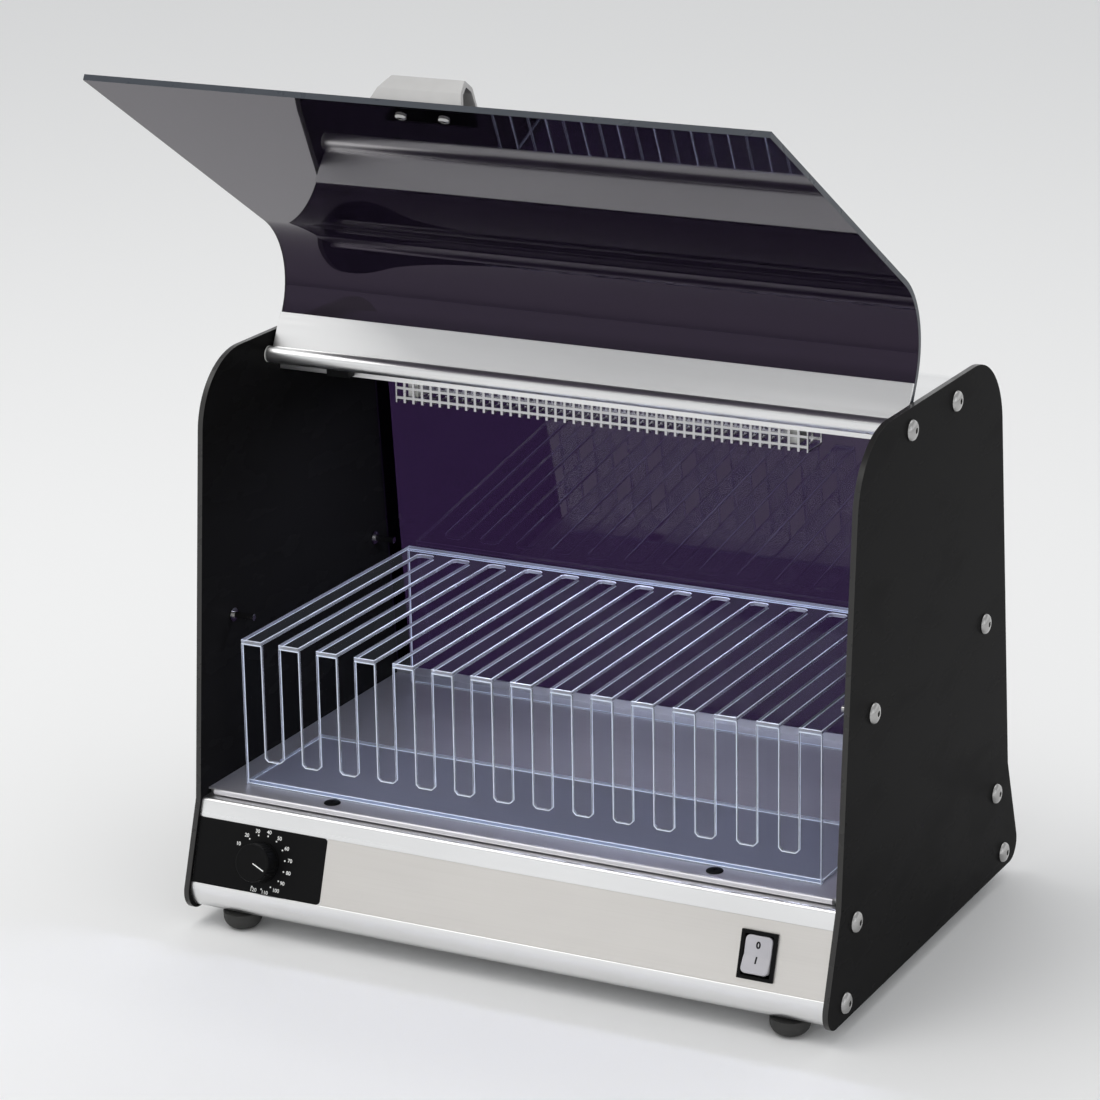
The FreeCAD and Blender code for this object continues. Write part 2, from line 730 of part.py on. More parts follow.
def rear_wall():
    def wall_at(z):
        return f"{edge_at(z)} - rear_inset"
    low, high = "shelf_top + sheet_gap", "skirt_end + wall_overlap"
    points = [(wall_at(low), low), (wall_at(high), high),
              (f"{wall_at(high)} - acrylic", high), (f"{wall_at(low)} - acrylic", low)]
    body = extrusion("rear_wall_sheet", "YZ_Plane", points, f"{LENGTH} - 2 * sheet_gap",
                     (f"-({INSIDE}) + sheet_gap", "0", "0"))
    holes = [slanted_rod(f"wall_hole_{i}", "wall_screw_hole", "14", REAR_SKIRT, (x, "wall_screw_up", "-8"),
                         rear=True) for i, x in enumerate(rear_fixings())]
    node(cut("rear_wall_drilled", body, *holes), "rear_wall")
    screws = []
    for i, x in enumerate(rear_fixings()):
        head = slanted_rod(f"wall_screw_head_{i}", "wall_screw_head", "screw_head_high", REAR_SKIRT,
                           (x, "wall_screw_up", "0"), rear=True)
        shank = slanted_rod(f"wall_screw_shank_{i}", "wall_screw_radius", "sheet + acrylic", REAR_SKIRT,
                            (x, "wall_screw_up", "-sheet - acrylic"), rear=True)
        screws.append(join(f"wall_screw_{i}", head, shank))
    node(group("wall_screw_row", *screws), "rear_wall_screws")


# ---------------------------------------------------------------- door
# The door is drawn shut, about its hinge axis, and then turned open.
def from_hinge(points):
    return [(f"roof_bolt_y - ({y})", f"{z} - roof_bolt_z") for y, z in points]


DOOR_SKIN = f"acrylic * sqrt(1 + ({LEAN}) * ({LEAN}))"


def door():
    start = ("-door_width / 2", "-roof_bolt_y", "roof_bolt_z")
    points = from_hinge([
        ("roof_bolt_y + door_start", "roof_top"),
        (edge_at("roof_top"), "roof_top"),
        (edge_at("door_bottom"), "door_bottom"),
        (f"{edge_at('door_bottom')} - {DOOR_SKIN}", "door_bottom"),
        (f"{edge_at('roof_top - acrylic')} - {DOOR_SKIN}", "roof_top - acrylic"),
        ("roof_bolt_y + door_start", "roof_top - acrylic"),
    ])
    body = extrusion("door_sheet", "YZ_Plane", points, "door_width", start, OPENING)
    soften(body, "YZ_Plane", "Fillet", "door_bend", [points[1]])
    soften(body, "YZ_Plane", "Fillet", "door_bend - acrylic", [points[4]])
    holes = [slanted_rod(f"door_hole_{hand}", "handle_screw_radius + 0.1", "12", DOOR_FACE,
                         (f"{side} * handle_pitch / 2", "handle_from_edge", "-8"), opened=True)
             for hand, side in SIDES.items()]
    node(cut("door_drilled", body, *holes), "door_panel")


def door_rail():
    """Extruded hinge rail: a tube on the hinge axis, an inner leaf and a lip that grip the door sheet."""
    start = ("-door_width / 2", "-roof_bolt_y", "roof_bolt_z")
    leaf_low = "roof_top - acrylic - leaf_thick"
    points = from_hinge([
        ("roof_bolt_y + leaf_start", leaf_low),
        ("roof_bolt_y + leaf_length", leaf_low),
        ("roof_bolt_y + leaf_length", "roof_top - acrylic"),
        ("roof_bolt_y + door_start", "roof_top - acrylic"),
        ("roof_bolt_y + door_start", "roof_top"),
        ("roof_bolt_y + rail_lip", "roof_top"),
        ("roof_bolt_y + rail_lip", "roof_top + rail_lip_thick"),
        ("roof_bolt_y + door_start - rail_lip_back", "roof_top + rail_lip_thick"),
        ("roof_bolt_y + door_start - rail_lip_back", "roof_top - acrylic"),
        ("roof_bolt_y + leaf_start", "roof_top - acrylic"),
    ])
    leaf = extrusion("rail_leaf", "YZ_Plane", points, "door_width", start, OPENING)
    barrel = rod("rail_barrel", "barrel_radius", "door_width", start, ALONG_X)
    bore = rod("rail_bore", "barrel_bore", "door_width", start, ALONG_X)
    node(cut("door_rail_drilled", join("door_rail_solid", leaf, barrel), bore), "door_rail")


def hinge_bushes():
    for hand, side in SIDES.items():
        end = f"{side} * door_width / 2"
        name = f"hinge_bush_{hand}"
        sleeve = rod(f"{name}_sleeve", "barrel_bore", "bush_long", (end, "-roof_bolt_y", "roof_bolt_z"),
                     inwards(side))
        flange = rod(f"{name}_flange", "barrel_radius", "flange_thick", (end, "-roof_bolt_y", "roof_bolt_z"),
                     outwards(side))
        bore = rod(f"{name}_bore", "bolt_radius + running", "bush_long * 2",
                   (f"{side} * (door_width / 2 + flange_thick * 2)", "-roof_bolt_y", "roof_bolt_z"),
                   inwards(side))
        node(cut(f"{name}_drilled", join(f"{name}_solid", sleeve, flange), bore), name)


def handle():
    """Hollow moulded grip with slanted ends, on two bosses, screwed on from inside the door."""
    half, high, wall = "handle_wide / 2", "handle_high", "handle_wall"
    waist = "handle_high * 0.45"
    arch = [(f"-({half})", "0"), (f"-({half}) + handle_draft", waist), (f"-({half}) + handle_shoulder", high),
            (f"{half} - handle_shoulder", high), (f"{half} - handle_draft", waist), (half, "0")]
    inner, inner_high = f"({half} - {wall})", f"{high} - {wall}"
    inner_step = "(handle_shoulder - handle_draft * 2)"
    tunnel = [(f"-{inner}", "0"), (f"-{inner} + handle_draft / 2", waist),
              (f"-{inner} + {inner_step}", inner_high), (f"{inner} - {inner_step}", inner_high),
              (f"{inner} - handle_draft / 2", waist), (inner, "0")]
    outside = extrusion("handle_outside", "YZ_Plane", arch, "handle_long")
    soften(outside, "YZ_Plane", "Fillet", "handle_rounding", arch[1:5])
    inside = extrusion("handle_inside", "YZ_Plane", tunnel, "handle_long + 2")
    soften(inside, "YZ_Plane", "Fillet", "handle_rounding * 0.8", tunnel[1:5])
    slanted(outside, DOOR_FACE, "-handle_long / 2", "handle_from_edge", "0", opened=True)
    slanted(inside, DOOR_FACE, "-handle_long / 2 - 1", "handle_from_edge", "0", opened=True)
    ends = extrusion("handle_ends", "XZ_Plane",
                     [("-handle_long / 2", "0"), ("handle_long / 2", "0"),
                      ("handle_long / 2 - handle_slant", high), ("-handle_long / 2 + handle_slant", high)],
                     "handle_wide + 4")
    slanted(ends, DOOR_FACE, "0", "handle_from_edge + handle_wide / 2 + 2", "0", opened=True)
    grip = doc.addObject("Part::MultiCommon", "handle_grip")
    grip.Shapes = [outside, ends]
    bosses, pilots, screws = [], [], []
    for hand, side in SIDES.items():
        spot = (f"{side} * handle_pitch / 2", "handle_from_edge")
        bosses.append(slanted_rod(f"handle_boss_{hand}", "boss_radius", "handle_high - 1", DOOR_FACE,
                                  (*spot, "0"), opened=True))
        pilots.append(slanted_rod(f"handle_pilot_{hand}", "handle_screw_radius + pilot_clearance",
                                  "handle_screw_grip + 2", DOOR_FACE, (*spot, "-1"), opened=True))
        head = slanted_rod(f"handle_head_{hand}", "handle_screw_head", "handle_screw_head_high", DOOR_FACE,
                           (*spot, "-acrylic - handle_screw_head_high"), opened=True)
        shank = slanted_rod(f"handle_shank_{hand}", "handle_screw_radius", "acrylic + handle_screw_grip",
                            DOOR_FACE, (*spot, "-acrylic"), opened=True)
        screws.append(join(f"handle_screw_{hand}", head, shank))
    shell = join("handle_shell", cut("handle_hollow", grip, inside), *bosses)
    node(cut("handle_drilled", shell, *pilots), "door_handle")
    node(group("handle_screw_pair", *screws), "handle_screws")


# ---------------------------------------------------------------- timer and switch
def timer():
    """Clockwork timer behind the front plate, its nut, its shaft and the knob."""
    centre = ("dial_x", "dial_up")
    body = slanted_block("timer_case", ("timer_body", "timer_body", "timer_deep"), FRONT_FACE,
                         ("dial_x - timer_body / 2", "dial_up - timer_body / 2", "-timer_deep - timer_wall"))
    bush = slanted_rod("timer_bush", "timer_bush_radius", "timer_bush_high", FRONT_FACE,
                       (*centre, "-timer_wall"))
    bore = slanted_rod("timer_bore", "shaft_radius + running", "shaft_in + 4", FRONT_FACE,
                       (*centre, "-shaft_in - 0.5"))
    node(cut("timer_drilled", join("timer_solid", body, bush), bore), "timer_body")
    nut = doc.addObject("Part::Prism", "timer_nut_blank")
    nut.Polygon = 6
    bind(nut, Circumradius="timer_nut_radius", Height="timer_nut_high")
    slanted(nut, FRONT_FACE, *centre, f"timer_plate_thick - {RECESS}")
    hole = slanted_rod("timer_nut_hole", "timer_bush_radius + thread_clearance", "5", FRONT_FACE,
                       (*centre, "-1"))
    node(cut("timer_nut_cut", nut, hole), "timer_nut")
    node(slanted_rod("timer_spindle", "shaft_radius", "shaft_long", FRONT_FACE, (*centre, "-shaft_in")),
         "timer_shaft")
    skirt = doc.addObject("Part::Cone", "knob_cone")
    bind(skirt, Radius1="knob_radius", Radius2="knob_face", Height="knob_high - knob_lift")
    slanted(skirt, FRONT_FACE, *centre, "knob_lift")
    cup = slanted_rod("knob_hollow", "knob_cup", "knob_cup_deep", FRONT_FACE, (*centre, "knob_lift"))
    seat = slanted_rod("knob_seat", "shaft_radius", "knob_seat_deep", FRONT_FACE, (*centre, "1"))
    node(cut("knob_turned", skirt, cup, seat), "timer_knob")


def switch():
    """Rocker switch: a framed housing and the rocker, which rests with its upper half pressed in."""
    frame = slanted_block("switch_frame", ("switch_wide", "switch_tall", "switch_bezel"), FRONT_FACE,
                          ("switch_x - switch_wide / 2", f"{SWITCH_UP} - switch_tall / 2", "-fascia_sunk"))
    case_size = ("switch_wide - 2 * switch_flange", "switch_tall - 2 * switch_flange", "switch_deep")
    case = slanted_block("switch_case", case_size, FRONT_FACE,
                         ("switch_x - switch_wide / 2 + switch_flange",
                          f"{SWITCH_UP} - switch_tall / 2 + switch_flange", "-switch_deep - fascia_sunk"))
    well_size = ("rocker_wide + 2 * rocker_side_gap", "rocker_tall + 2 * rocker_end_gap", "switch_deep")
    well = slanted_block("switch_well", well_size, FRONT_FACE,
                         ("switch_x - rocker_wide / 2 - rocker_side_gap",
                          f"{SWITCH_UP} - rocker_tall / 2 - rocker_end_gap", "-switch_well_deep"))
    node(cut("switch_housed", join("switch_solid", frame, case), well), "switch_housing")
    half = "rocker_tall / 2"
    points = [(f"-({half})", "rocker_rise"), ("0", "rocker_dip"), (half, "rocker_rise"),
              (half, "rocker_root"), ("0", "rocker_keel"), (f"-({half})", "rocker_root")]
    rocker = extrusion("rocker_body", "YZ_Plane", points, "rocker_wide")
    soften(rocker, "YZ_Plane", "Fillet", "rocker_round", [points[0], points[2]])
    spot = on_slope(FRONT_FACE, "switch_x - rocker_wide / 2", SWITCH_UP, "rocker_pivot")
    rest = FreeCAD.Rotation(FreeCAD.Vector(1, 0, 0), -value("rocker_tilt"))
    rocker.Placement = spot * FreeCAD.Placement(FreeCAD.Vector(), rest)
    node(rocker, "switch_rocker")


# ---------------------------------------------------------------- rack
POST = "(rack_width - slot_count * slot_wide) / (slot_count + 1)"
PITCH = f"({POST} + slot_wide)"


def slotted_plate(name, outline, slot, start, turn=None):
    """A plate with one slot pocketed through it and repeated across its width."""
    body = extrusion(name, "XY_Plane", outline, "rack_thick", start, turn)
    solid = body.Tip.Shape.Volume
    sketch = outline_sketch(body, f"{name}_slot", "XY_Plane", slot)
    pocket = body.newObject("PartDesign::Pocket", f"{name}_pocket")
    pocket.Profile = sketch
    pocket.Reversed = True
    pocket.setExpression("Length", linked("rack_thick * 2"))
    sketch.Visibility = False
    body.Tip = pocket
    doc.recompute()
    one_slot = solid - body.Tip.Shape.Volume
    pattern = body.newObject("PartDesign::LinearPattern", f"{name}_slots")
    pattern.Originals = [pocket]
    pattern.Direction = (sketch, ["H_Axis"])
    pattern.setExpression("Length", linked(f"{PITCH} * (slot_count - 1)"))
    pattern.setExpression("Occurrences", linked("slot_count"))
    body.Tip = pattern
    doc.recompute()
    removed = solid - body.Tip.Shape.Volume
    assert one_slot > 0 and abs(removed - value("slot_count") * one_slot) < 1, f"{name}: slots missing"
    return body


def rack():
    """Clear rack with slots that open to the front and to the top."""
    half = "rack_width / 2"
    left, right = f"-{half} + {POST}", f"-{half} + {POST} + slot_wide"
    chamfer = "slot_chamfer"
    tall = "rack_top - rack_thick"
    front_slot = [(left, f"{tall} + 1"), (left, f"slot_bottom + {chamfer}"),
                  (f"{left} + {chamfer}", "slot_bottom"), (f"{right} - {chamfer}", "slot_bottom"),
                  (right, f"slot_bottom + {chamfer}"), (right, f"{tall} + 1")]
    front = slotted_plate("rack_front_plate", [(f"-{half}", "tray_top"), (half, "tray_top"), (half, tall),
                                               (f"-{half}", tall)],
                          front_slot, ("0", "-rack_front + rack_thick", "0"),
                          FreeCAD.Rotation(FreeCAD.Vector(1, 0, 0), 90))
    node(front, "rack_front")
    top_slot = [(left, "-rack_front - 1"), (right, "-rack_front - 1"), (right, f"slot_back - {chamfer}"),
                (f"{right} - {chamfer}", "slot_back"), (f"{left} + {chamfer}", "slot_back"),
                (left, f"slot_back - {chamfer}")]
    top = slotted_plate("rack_top_plate", [(f"-{half}", "-rack_front"), (half, "-rack_front"),
                                           (half, "rack_back"), (f"-{half}", "rack_back")],
                        top_slot, ("0", "0", tall))
    node(top, "rack_top")
    node(block("rack_rear_plate", ("rack_width", "rack_thick", f"{tall} - tray_top"),
               (f"-{half}", "rack_back - rack_thick", "tray_top")), "rack_rear")
    node(block("rack_base_plate", ("rack_width", "rack_front - rack_thick - rack_base_back", "rack_thick"),
               (f"-{half}", "-rack_front + rack_thick", "tray_top")), "rack_base")


# ---------------------------------------------------------------- lamp
def lamp():
    """Ultraviolet tube with its end caps and pins, in two holders under the roof."""
    tube = rod("lamp_glass", "lamp_radius", "2 * lamp_half", ("-lamp_half", "lamp_y", "lamp_z"), ALONG_X)
    node(tube, "uv_lamp")
    ceiling = "roof_top - sheet"
    for hand, side in SIDES.items():
        end = f"{side} * lamp_half"
        out = outwards(side)
        cap = rod(f"lamp_cap_{hand}_shell", "lamp_radius", "cap_long", (end, "lamp_y", "lamp_z"), out)
        rows = [f"lamp_y + {step} * lamp_pin_step" for step in (-1, 1)]
        pins = [rod(f"lamp_pin_{hand}_{i}", "lamp_pin_radius", "lamp_pin_long", (end, y, "lamp_z"), out)
                for i, y in enumerate(rows)]
        node(join(f"lamp_cap_{hand}_solid", cap, *pins), f"lamp_cap_{hand}")
        near = "lamp_half + holder_gap"
        low = near if side > 0 else f"-({near}) - holder_thick"
        case = block(f"holder_{hand}_case",
                     ("holder_thick", "holder_deep", f"{ceiling} - lamp_z + holder_deep / 2"),
                     (low, "lamp_y - holder_deep / 2", "lamp_z - holder_deep / 2"))
        sockets = [rod(f"holder_{hand}_socket_{i}", "lamp_socket_radius", "holder_thick",
                       (f"{side} * ({near})", y, "lamp_z"), out) for i, y in enumerate(rows)]
        node(cut(f"holder_{hand}_drilled", case, *sockets), f"lamp_holder_{hand}")


def lamp_guard():
    """Perforated channel under the lamp, open at both ends, with a flange along each side."""
    ceiling = "roof_top - sheet"
    long, wide = "2 * guard_half", "guard_front + guard_back"
    channel = block("guard_block", (long, wide, f"{ceiling} - guard_bottom"),
                    ("-guard_half", "-guard_front", "guard_bottom"))
    inside = block("guard_space", (f"{long} + 2", f"{wide} - 2 * guard_sheet", "60"),
                   ("-guard_half - 1", "-guard_front + guard_sheet", "guard_bottom + guard_sheet"))
    flanges = [block(f"guard_flange_{i}", (long, "guard_flange", "guard_sheet"),
                     ("-guard_half", y, f"{ceiling} - guard_sheet"))
               for i, y in enumerate(("-guard_front - guard_flange", "guard_back"))]
    holes = doc.addObject("Part::Feature", "guard_holes")
    holes.Shape = guard_perforation()
    holes.Placement = FreeCAD.Placement(FreeCAD.Vector(0, value("middle_y"), 0), FreeCAD.Rotation())
    screw_holes = [rod(f"guard_screw_hole_{i}", "guard_screw_hole", "6", (x, y, f"{ceiling} - 3"))
                   for i, (x, y) in enumerate(guard_fixings())]
    shell = join("guard_shell", cut("guard_channel", channel, inside), *flanges)
    node(cut("guard_drilled", shell, holes, *screw_holes), "lamp_guard")
    screws = []
    for i, (x, y) in enumerate(guard_fixings()):
        head = rod(f"guard_head_{i}", "guard_screw_head", "screw_head_high",
                   (x, y, f"{ceiling} - guard_sheet - screw_head_high"))
        shank = rod(f"guard_shank_{i}", "guard_screw_radius", "guard_sheet + sheet",
                    (x, y, f"{ceiling} - guard_sheet"))
        screws.append(join(f"guard_screw_{i}", head, shank))
    node(group("guard_screw_set", *screws), "guard_screws")


def guard_perforation():
    """Square holes in rows along the guard's walls and bottom; the lowest row runs over the bend."""
    pitch, hole = value("guard_pitch"), value("guard_hole")
    half, front, back = value("guard_half"), value("guard_front"), value("guard_back")
    bottom = value("guard_bottom")
    columns = 1 + int((2 * half - hole) / pitch)
    rows = int((value("roof_top") - bottom - 8) / pitch)
    middle = (back - front) / 2
    tools = []
    for column in range(columns):
        x = (column - (columns - 1) / 2) * pitch - hole / 2
        for row in range(rows):
            low = bottom - value("guard_first_row") + row * pitch
            tools.append(Part.makeBox(hole, back + front + 4, hole, FreeCAD.Vector(x, -front - 2, low)))
        tools.append(Part.makeBox(hole, hole, 4, FreeCAD.Vector(x, middle - hole / 2, bottom - 1)))
    return Part.makeCompound(tools)


# ---------------------------------------------------------------- electrical pieces and interlock
def electrical():
    """Pieces on the bottom pan, under the tray."""
    deck = "profile_bottom + profile_wall + pan_thick"
    node(block("ballast_case", ("ballast_long", "ballast_wide", "ballast_high"),
               ("ballast_x", "-ballast_wide / 2", deck)), "ballast")
    node(block("starter_base", ("starter_base_long", "starter_base_wide", "starter_base_high"),
               ("starter_x - starter_base_long / 2", "-starter_base_wide / 2", deck)), "starter_holder")
    node(rod("starter_can", "starter_radius", "starter_high",
             ("starter_x", "0", f"{deck} + starter_base_high")), "starter")
    node(block("terminal_strip", ("terminal_long", "terminal_wide", "terminal_high"),
               ("terminal_x", "terminal_y", deck)), "terminal_block")


def cable_gland():
    """Cable gland through the rear profile, with the nut inside."""
    centre = ("-gland_x", "dial_up")
    sunk = "-fascia_sunk"
    flange = slanted_rod("gland_flange", "gland_flange_radius", "gland_flange_high", FRONT_FACE,
                         (*centre, sunk), rear=True)
    neck = slanted_rod("gland_neck", "gland_neck_radius", "gland_neck_long", FRONT_FACE,
                       (*centre, "-gland_neck_long"), rear=True)
    dome = doc.addObject("Part::Cone", "gland_dome")
    bind(dome, Radius1="gland_dome_base", Radius2="gland_dome_tip", Height="gland_dome_high")
    slanted(dome, FRONT_FACE, *centre, f"gland_flange_high {sunk}", rear=True)
    bore = slanted_rod("gland_bore", "gland_bore_radius", "gland_neck_long * 3", FRONT_FACE,
                       (*centre, "-gland_neck_long - 6"), rear=True)
    node(cut("gland_drilled", join("gland_solid", flange, neck, dome), bore), "cable_gland")
    ring = slanted_rod("gland_ring", "gland_flange_radius", "gland_nut_high", FRONT_FACE,
                       (*centre, "-gland_nut_start"), rear=True)
    thread = slanted_rod("gland_ring_hole", "gland_neck_radius + thread_clearance", "10", FRONT_FACE,
                         (*centre, "-10"), rear=True)
    node(cut("gland_ring_cut", ring, thread), "gland_nut")


def interlock():
    """Door switch behind the hinge rail: a small case on the roof's front lip, and its plunger."""
    x, face, z = "-interlock_x", "-roof_front - interlock_deep", "interlock_z"
    case = block("interlock_case", ("interlock_wide", "interlock_deep", "interlock_high"),
                 (f"{x} - interlock_wide / 2", face, f"{z} - interlock_below"))
    bore = rod("interlock_bore", "plunger_radius + plunger_clearance", "plunger_bore_deep + 0.5",
               (x, f"{face} - 0.5", z), TOWARDS_BACK)
    node(cut("interlock_drilled", case, bore), "interlock_switch")
    node(rod("interlock_pin", "plunger_radius", "plunger_long", (x, f"{face} - plunger_out", z),
             TOWARDS_BACK), "interlock_plunger")


for hand, side in SIDES.items():
    side_panel(hand, side)
    bolts_of_side(hand, side)
shelf_pins()
gland_window = slanted_rod("gland_window", "gland_hole", "20", FRONT_FACE, ("-gland_x", "dial_up", "-10"),
                           rear=True)
base_profile("front_base_profile", -1, *front_windows())
base_profile("rear_base_profile", 1, gland_window)
fascias()
bottom_and_tray()
feet()
roof()
rear_wall()
door()
door_rail()
hinge_bushes()
handle()
timer()
switch()
rack()
lamp()
lamp_guard()
electrical()
cable_gland()
interlock()
doc.recompute()

failed = [obj.Label for obj in doc.Objects if "Invalid" in obj.State or "Error" in obj.State]
assert not failed, f"failed objects: {failed}"
os.makedirs("parts", exist_ok=True)
whole = FreeCAD.BoundBox()
for obj in nodes:
    shape = obj.Shape
    assert not shape.isNull() and shape.isValid() and shape.Volume > 0, obj.Label
    shape.exportStep(f"parts/{obj.Label}.step")
    whole.add(shape.BoundBox)
    box = shape.BoundBox
    print(f"{obj.Label:24s} {len(shape.Solids):3d} solids {shape.Volume / 1000:10.2f} cm3",
          *(f"{number:8.1f}" for number in (box.XMin, box.YMin, box.ZMin, box.XMax, box.YMax, box.ZMax)))
print(len(nodes), "nodes, from", whole.XMin, whole.YMin, whole.ZMin, "to", whole.XMax, whole.YMax, whole.ZMax)
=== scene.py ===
import json
import math

import bmesh
import bpy
from mathutils import Matrix, Vector

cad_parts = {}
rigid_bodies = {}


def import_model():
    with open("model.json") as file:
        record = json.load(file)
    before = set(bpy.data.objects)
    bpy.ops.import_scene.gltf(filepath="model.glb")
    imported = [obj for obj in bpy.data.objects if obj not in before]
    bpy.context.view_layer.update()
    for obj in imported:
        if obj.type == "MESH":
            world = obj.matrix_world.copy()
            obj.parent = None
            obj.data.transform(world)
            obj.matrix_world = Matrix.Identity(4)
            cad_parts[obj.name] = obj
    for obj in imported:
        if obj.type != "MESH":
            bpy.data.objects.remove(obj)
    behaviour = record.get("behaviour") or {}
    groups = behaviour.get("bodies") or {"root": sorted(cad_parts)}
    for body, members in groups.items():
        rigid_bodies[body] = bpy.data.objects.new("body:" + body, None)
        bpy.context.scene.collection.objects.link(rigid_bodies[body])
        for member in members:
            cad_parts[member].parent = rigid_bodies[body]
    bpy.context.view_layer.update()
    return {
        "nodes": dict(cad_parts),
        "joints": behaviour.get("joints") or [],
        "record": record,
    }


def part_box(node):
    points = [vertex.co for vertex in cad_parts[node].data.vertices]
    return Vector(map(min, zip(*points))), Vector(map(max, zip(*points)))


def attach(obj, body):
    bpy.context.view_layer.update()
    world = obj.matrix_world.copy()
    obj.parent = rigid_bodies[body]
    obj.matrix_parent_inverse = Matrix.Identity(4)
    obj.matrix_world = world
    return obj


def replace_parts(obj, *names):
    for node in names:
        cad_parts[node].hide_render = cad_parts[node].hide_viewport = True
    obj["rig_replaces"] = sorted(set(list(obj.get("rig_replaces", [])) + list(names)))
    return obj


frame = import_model()

NODES = frame["nodes"]
JOINTS = {joint["name"]: joint for joint in frame["joints"]}
BODIES = frame["record"]["behaviour"]["bodies"]
BODY_OF = {node: body for body, members in BODIES.items() for node in members}
SLOT_OF = {part["node"]: part["material_slot"] for part in frame["record"]["subparts"]}
MM = 0.001


# ---------------------------------------------------------------- camera
def aim_camera():
    """A long lens to the right of the cabinet, looking slightly down at its front."""
    azimuth, elevation, roll = math.radians(26.96), math.radians(16.88), math.radians(-0.80)
    target, distance = Vector((-0.00185, 0.034, 0.29926)), 2.6644
    back = Vector((math.sin(azimuth) * math.cos(elevation), -math.cos(azimuth) * math.cos(elevation),
                   math.sin(elevation)))
    level = (-back).cross(Vector((0, 0, 1))).normalized()
    rise = level.cross(-back)
    right = level * math.cos(roll) + rise * math.sin(roll)
    up = rise * math.cos(roll) - level * math.sin(roll)
    data = bpy.data.cameras.new("camera")
    data.lens = 124.0
    data.sensor_width = 36.0
    data.shift_x, data.shift_y = -0.0424, -0.0404
    camera = bpy.data.objects.new("camera", data)
    bpy.context.scene.collection.objects.link(camera)
    camera.matrix_world = Matrix((
        (right.x, up.x, back.x, target.x + back.x * distance),
        (right.y, up.y, back.y, target.y + back.y * distance),
        (right.z, up.z, back.z, target.z + back.z * distance),
        (0, 0, 0, 1)))
    bpy.context.scene.camera = camera


# ---------------------------------------------------------------- materials
def shader(name, color, **sockets):
    """A Principled material; its own sockets take what is the same all over."""
    made = bpy.data.materials.new(name)
    made.use_nodes = True
    bsdf = made.node_tree.nodes["Principled BSDF"]
    bsdf.inputs["Base Color"].default_value = (*color, 1)
    for socket, value in sockets.items():
        bsdf.inputs[socket.replace("_", " ")].default_value = value
    return made


def add(made, kind, **settings):
    """A new node in a material, with its settings."""
    node = made.node_tree.nodes.new(kind)
    for key, value in settings.items():
        setattr(node, key, value)
    return node


def link(made, start, end):
    """Join an output to an input."""
    made.node_tree.links.new(start, end)


def noise(made, scale, stretch=(1, 1, 1), detail=3.0):
    """Noise in the row frame, drawn out along an axis where its stretch is small."""
    place = add(made, "ShaderNodeTexCoord")
    mapping = add(made, "ShaderNodeMapping")
    mapping.inputs["Scale"].default_value = stretch
    texture = add(made, "ShaderNodeTexNoise")
    texture.inputs["Scale"].default_value = scale
    texture.inputs["Detail"].default_value = detail
    link(made, place.outputs["Object"], mapping.inputs["Vector"])
    link(made, mapping.outputs["Vector"], texture.inputs["Vector"])
    return texture.outputs["Fac"]


def spread(made, factor, low, high, socket):
    """Map a 0 to 1 factor onto a range of a shader socket."""
    ramp = add(made, "ShaderNodeMapRange")
    ramp.inputs["From Min"].default_value = 0.3
    ramp.inputs["From Max"].default_value = 0.7
    ramp.inputs["To Min"].default_value = low
    ramp.inputs["To Max"].default_value = high
    link(made, factor, ramp.inputs["Value"])
    link(made, ramp.outputs["Result"], made.node_tree.nodes["Principled BSDF"].inputs[socket])


def tint(made, factor, dark, light):
    """Let a factor vary the base colour between two colours."""
    ramp = add(made, "ShaderNodeValToRGB")
    ramp.color_ramp.elements[0].position = 0.3
    ramp.color_ramp.elements[0].color = (*dark, 1)
    ramp.color_ramp.elements[1].position = 0.7
    ramp.color_ramp.elements[1].color = (*light, 1)
    link(made, factor, ramp.inputs["Fac"])
    link(made, ramp.outputs["Color"], made.node_tree.nodes["Principled BSDF"].inputs["Base Color"])


def relief(made, factor, strength, distance):
    """Let a factor raise and lower the surface's shading a little."""
    bump = add(made, "ShaderNodeBump")
    bump.inputs["Strength"].default_value = strength
    bump.inputs["Distance"].default_value = distance
    link(made, factor, bump.inputs["Height"])
    link(made, bump.outputs["Normal"], made.node_tree.nodes["Principled BSDF"].inputs["Normal"])


def satin_metal(name, color, rough, grain=(3, 400, 400), strength=0.12, metallic=1.0):
    """Drawn or brushed metal: lines along x, in its gloss, its colour and its relief."""
    made = shader(name, color, Metallic=metallic)
    lines = noise(made, 1.0, grain, 4.0)
    spread(made, lines, rough * 0.85, rough * 1.2, "Roughness")
    tint(made, noise(made, 9.0, (0.6, 2, 2)), [c * 0.95 for c in color], [min(1, c * 1.03) for c in color])
    relief(made, lines, strength, 0.00002)
    return made


def moulded(name, color, rough, grain=1400, strength=0.25, **sockets):
    """Moulded plastic or rubber with a fine even grain."""
    made = shader(name, color, **sockets)
    fine = noise(made, grain, detail=2.0)
    spread(made, noise(made, 40.0), rough * 0.9, min(1, rough * 1.15), "Roughness")
    tint(made, noise(made, 25.0), [c * 0.9 for c in color], [c * 1.08 for c in color])
    relief(made, fine, strength, 0.00005)
    return made


def polished(name, color, rough, **sockets):
    """Polished sheet: nearly even gloss with faint smears."""
    made = shader(name, color, **sockets)
    spread(made, noise(made, 14.0, (1, 1, 2.5), 5.0), rough * 0.6, rough * 1.5, "Roughness")
    return made


def sawn_edge(name, color, rough, **sockets):
    """Sawn and flame-polished edge of a plastic sheet: a slow wander in its gloss."""
    made = shader(name, color, **sockets)
    spread(made, noise(made, 60.0, detail=5.0), rough * 0.75, rough * 1.25, "Roughness")
    return made


